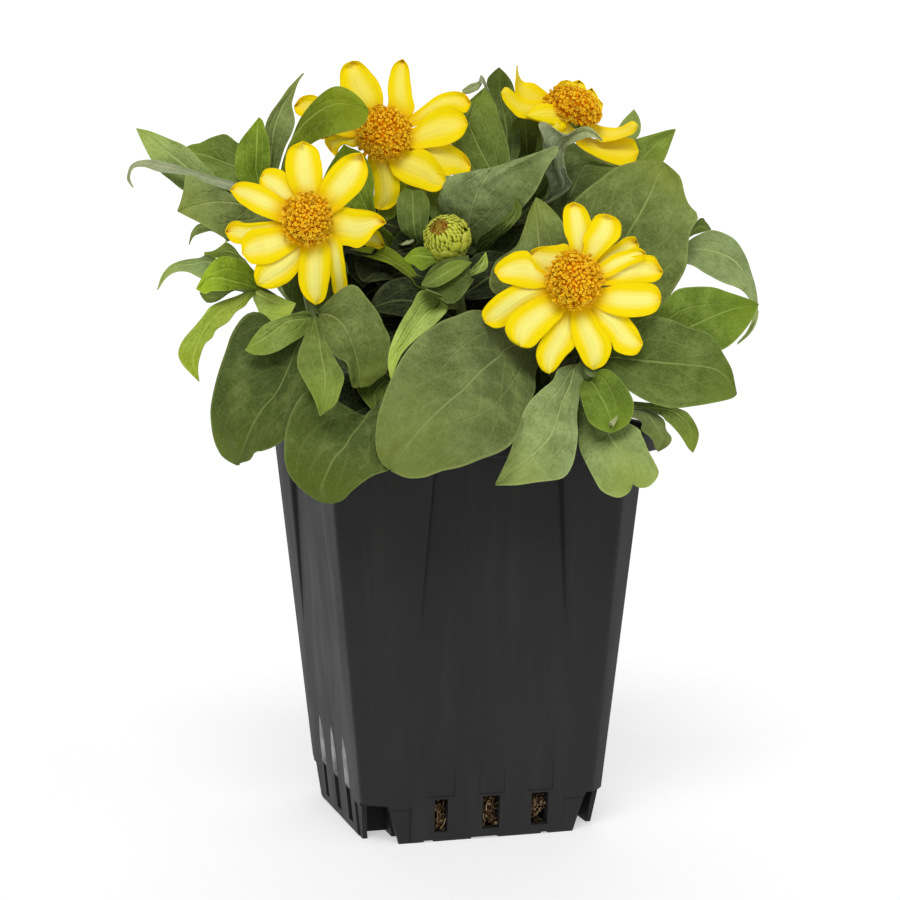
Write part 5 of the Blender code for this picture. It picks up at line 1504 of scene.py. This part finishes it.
def add_side_cutters(bm, turn, sink):
    """The slots of one side with a shallow pointed scoop above each, the nicks of its lower edge, the thin
    ends of its skirt with the recesses behind them, and the notch at its left corner."""
    spring = (SLOT_TOP + ARCH_TOP) / 2
    fall = sink / (ARCH_TOP - SLOT_TOP)
    # The deepest scoops, on the left, are narrower and painted pale grey: a painted highlight.
    highlighted = sink == max(ARCH_SINKS)
    wide = ARCH_HALF * (ARCH_NARROWER if highlighted else 1)
    arch = [(-wide, SLOT_TOP + SCOOP_GAP), (wide, SLOT_TOP + SCOOP_GAP), (wide * 0.97, spring)]
    arch += [(wide * (1 - u**1.4), spring + (ARCH_TOP - spring) * u) for u in (0.25, 0.5, 0.75, 1.0)]
    arch += [(-u, v) for u, v in arch[2:-1][::-1]]
    for x, width in SLOTS:
        add_cutter(bm, turn, box_outline(x, width / 2, SLOT_FOOT, SLOT_TOP, SLOT_DEPTH))
        add_cutter(bm, turn, [(x + u, v, 0.02 * MM + fall * (ARCH_TOP - v)) for u, v in arch],
                   material=int(highlighted))
    for x, half in NICKS:
        add_cutter(bm, turn, box_outline(x, half, -MM, NICK_TOP, NICK_DEPTH))
    end_half = 10 * MM
    recess_half = (RECESS_END - RECESS) / 2
    for x in (-1, 1):
        add_cutter(bm, turn, box_outline(x * (SKIRT_END + end_half), end_half, -MM, SKIRT_THIN_TOP,
                                         SKIRT_THINNER))
        add_cutter(bm, turn, box_outline(x * (RECESS + RECESS_END) / 2, recess_half, -MM, RECESS_TOP,
                                         FOOT_HALF - RECESS_BACK), -RECESS_WALL)
    rows = []
    far = 0.06
    for z, cut in ((-MM, FOOT_CUT), (SHOULDER, SHOULDER_CUT)):
        near = pot_half(max(z, 0)) - cut
        rows.append([(-far, -far, z), (-near, -far, z), (-near, -near, z), (-far, -near, z)])
    add_prism(bm, turn, *rows)


def build_pot():
    """The pot, from the middle of its floor up the inside, over the rim and down the outside."""
    pile = Pile(BLACK_PLASTIC, PAINTED_HIGHLIGHT)
    top, soft = POT_HEIGHT, EDGE_SOFT
    inside = pot_ring(FLOOR, WALL)
    rings = [closing_ring(inside), inside]
    rings += pot_rings(FLOOR + MM, RINGS_CLOSE, 18, WALL)
    rings += pot_rings(RINGS_WIDE, RIM_FOOT - soft, 9, WALL)
    rings += [pot_ring(z, inset, proud) for z, inset, proud in (
        (RIM_FOOT + WALL, WALL, RIM_PROUD), (top - soft, WALL, RIM_PROUD), (top, WALL * 0.66, RIM_PROUD),
        (top, WALL * 0.33, RIM_PROUD), (top - soft, 0, RIM_PROUD), (RIM_FOOT + soft, 0, RIM_PROUD),
        (RIM_FOOT, 0, RIM_PROUD - soft), (RIM_FOOT, 0, 0.2 * MM), (RIM_FOOT - soft, 0, 0))]
    rings += pot_rings(RIM_FOOT - 2 * MM, PANEL_FOOT, 14)
    rings += pot_rings(PANEL_FOOT - MM, soft, 12)
    underside = pot_ring(0, 0, -soft)
    pile.add(np.stack(rings + [underside, closing_ring(underside)]))
    pot = pile.piece("pot_shell", "pot")
    bm = bmesh.new()
    for side in range(4):
        add_side_cutters(bm, Matrix.Rotation(side * math.pi / 2, 4, "Z"), ARCH_SINKS[side])
    bmesh.ops.recalc_face_normals(bm, faces=bm.faces)
    mesh = bpy.data.meshes.new("slots")
    bm.to_mesh(mesh)
    bm.free()
    cutter = add_object("slots", mesh)
    cut = pot.modifiers.new("slots", "BOOLEAN")
    cut.operation, cut.object, cut.solver, cut.use_self = "DIFFERENCE", cutter, "EXACT", True
    bpy.context.view_layer.update()
    pot.data = bpy.data.meshes.new_from_object(pot.evaluated_get(bpy.context.evaluated_depsgraph_get()))
    pot.modifiers.clear()
    bpy.data.objects.remove(cutter)
    pot.data.shade_smooth()
    pot.data.set_sharp_from_angle(angle=math.radians(28))
    return pot


def build_soil(rng):
    """The soil: a block that fills the pot, with crumbs and fibres on its top and straw in the slots."""
    pile = Pile(COIR)
    inset = WALL + GAP
    low, high = FLOOR + GAP, SOIL_TOP
    rings = [closing_ring(pot_ring(low, inset))] + pot_rings(low, RINGS_CLOSE, 12, inset)
    rings += pot_rings(RINGS_WIDE, high - MM, 8, inset)
    edge = pot_ring(high, inset)
    for part in np.linspace(1, 0.01, 40):
        ring = edge * (part, part, 1)
        x, y = ring[:, 0] / MM, ring[:, 1] / MM
        bumps = (np.sin(0.9 * x + 1.3) * np.cos(0.8 * y) + np.sin(0.35 * x - 0.5 * y)
                 + 0.7 * np.sin(1.7 * x + 1.1 * y)) * 0.35
        ring[:, 2] += (bumps + rng.uniform(-0.5, 0.5, len(ring))) * MM * min(1, (1 - part) * 8 + 0.2)
        rings.append(ring)
    pile.add(np.stack(rings), look=(0, 0, 0.2))
    half = pot_half(SOIL_TOP) - inset - 3 * MM
    for _ in range(CRUMBS):
        x, y, up = (rng.uniform(*reach) for reach in ((-half, half), (-half, half), (-0.3, 0.8)))
        add_crumb(pile, np.array((x, y, high + up * MM)), rng.uniform(0.5, 1.9) * MM, 0, rng)
    for _ in range(FIBRES):
        spot = np.array((rng.uniform(-half, half), rng.uniform(-half, half), high + 0.6 * MM))
        add_fibre(pile, spot, facing(rng.uniform(0, 360), rng.uniform(-10, 25)), rng.uniform(2, 8) * MM,
                  SOIL_TOP, 0, rng)
    for side in range(4):
        turn = np.array(Matrix.Rotation(side * math.pi / 2, 3, "Z"))
        for slot in SLOTS:
            for _ in range(SLOT_CRUMBS):
                spot = turn @ spot_in_slot(slot, SLOT_TOP, 0.45, 3.4, rng)
                add_crumb(pile, spot, rng.uniform(0.4, 1.3) * MM, rng.uniform(0, 0.2), rng)
            for _ in range(SLOT_FIBRES):
                spot = turn @ spot_in_slot(slot, SLOT_TOP - MM, 0.35, 3.0, rng)
                way = turn @ unit(np.array((rng.normal(0, 0.5), 0.1, rng.normal(0, 1))))
                add_fibre(pile, spot, way, rng.uniform(1.5, 5) * MM, SLOT_FOOT, rng.uniform() ** 7, rng)
    return pile.piece("soil_coir", "soil")


def spot_in_slot(slot, top, spread, deepest, rng):
    """A place in a slot of the front side, at most this far from its middle and this deep in millimetres."""
    middle, width = slot
    z = rng.uniform(SLOT_FOOT, top)
    x = middle + rng.uniform(-spread, spread) * width
    return np.array((x, -(pot_half(z) - rng.uniform(1.3, deepest) * MM), z))


def add_crumb(pile, spot, size, golden, rng):
    """A small uneven lump."""
    turns = turns_round(6)
    rings = []
    for z, r in ((-0.9, 0.3), (-0.4, 0.9), (0.3, 1.0), (0.8, 0.45)):
        reach = r * size / 2 * rng.uniform(0.75, 1.25, 6)
        rings.append(np.stack([reach * np.cos(turns), reach * np.sin(turns),
                               z * size / 2 + rng.uniform(-0.1, 0.1, 6) * size], -1) + spot)
    pile.add(np.stack(rings), look=(golden, 0, rng.uniform() ** 2))


def add_fibre(pile, spot, way, length, lowest, golden, rng):
    """A bit of straw with a slight bend, which stays above lowest."""
    bend = unit(rng.normal(0, 1, 3)) * length * 0.1
    line = smooth_path([spot, spot + way * length / 2 + bend, spot + way * length], 6)
    line[:, 2] = np.maximum(line[:, 2], lowest)
    side = unit(np.cross(way, (0.1, 0.2, 1)))
    rings = ring_round(line[:, None], side, np.cross(side, way), rng.uniform(0.08, 0.2) * MM, turns_round(4))
    pile.add(rings, look=(golden, 0, rng.uniform(0.3, 1)))


# The stage: floor, light and camera

def build_stage():
    floor = bpy.data.meshes.new("floor")
    reach = FLOOR_REACH
    floor.from_pydata([(-reach, -reach, 0), (reach, -reach, 0), (reach, reach, 0), (-reach, reach, 0)], [],
                      [(0, 1, 2, 3)])
    pale = Shader("floor_white", 0.9, Specular_IOR_Level=0.1, Emission_Strength=FLOOR_GLOW)
    pale.main.inputs["Emission Color"].default_value = (1, 1, 1, 1)
    floor.materials.append(pale.finish((FLOOR_WHITE, FLOOR_WHITE, FLOOR_WHITE)))
    add_object("floor", floor)

    world = bpy.data.worlds.new("studio")
    world.use_nodes = True
    bpy.context.scene.world = world
    nodes, links = world.node_tree.nodes, world.node_tree.links
    # The camera sees a brighter sky than the one that lights the plant
    sky = nodes["Background"]
    seen = nodes.new("ShaderNodeBackground")
    for background, strength in ((sky, SKY_GLOW), (seen, SKY_SEEN)):
        background.inputs["Color"].default_value = (1, 1, 1, 1)
        background.inputs["Strength"].default_value = strength
    either = nodes.new("ShaderNodeMixShader")
    path = nodes.new("ShaderNodeLightPath")
    links.new(path.outputs["Is Camera Ray"], either.inputs[0])
    links.new(sky.outputs[0], either.inputs[1])
    links.new(seen.outputs[0], either.inputs[2])
    links.new(either.outputs[0], nodes["World Output"].inputs["Surface"])

    for name, azimuth, elevation, spread, power in LIGHTS:
        light = bpy.data.lights.new(name, "SUN")
        light.angle = math.radians(spread)
        light.energy = power
        lamp = add_object(name, light)
        lamp.rotation_euler = Vector(facing(azimuth, elevation)).to_track_quat("Z", "Y").to_euler()

    lens = bpy.data.cameras.new("camera")
    lens.lens, lens.sensor_width = CAMERA_LENS, CAMERA_SENSOR
    lens.clip_start = 0.05
    camera = add_object("camera", lens)
    camera.location = Vector(CAMERA_TARGET) + Vector(BACK * CAMERA_DISTANCE)
    camera.rotation_euler = Vector(BACK).to_track_quat("Z", "Y").to_euler()
    bpy.context.scene.camera = camera
    bpy.context.scene.view_settings.view_transform = "Standard"


def main():
    rng = np.random.default_rng(SEED)
    build_stage()
    build_pot()
    build_soil(rng)
    for number, name in enumerate(LEAFY_STEMS):
        build_leafy_stem(name, number, rng)
    for name, bloom in BLOOMS.items():
        build_rays(name + "_bloom_rays", bloom, rng)
        build_disc(name + "_bloom_disc", bloom, rng)
    build_bud(rng)


main()
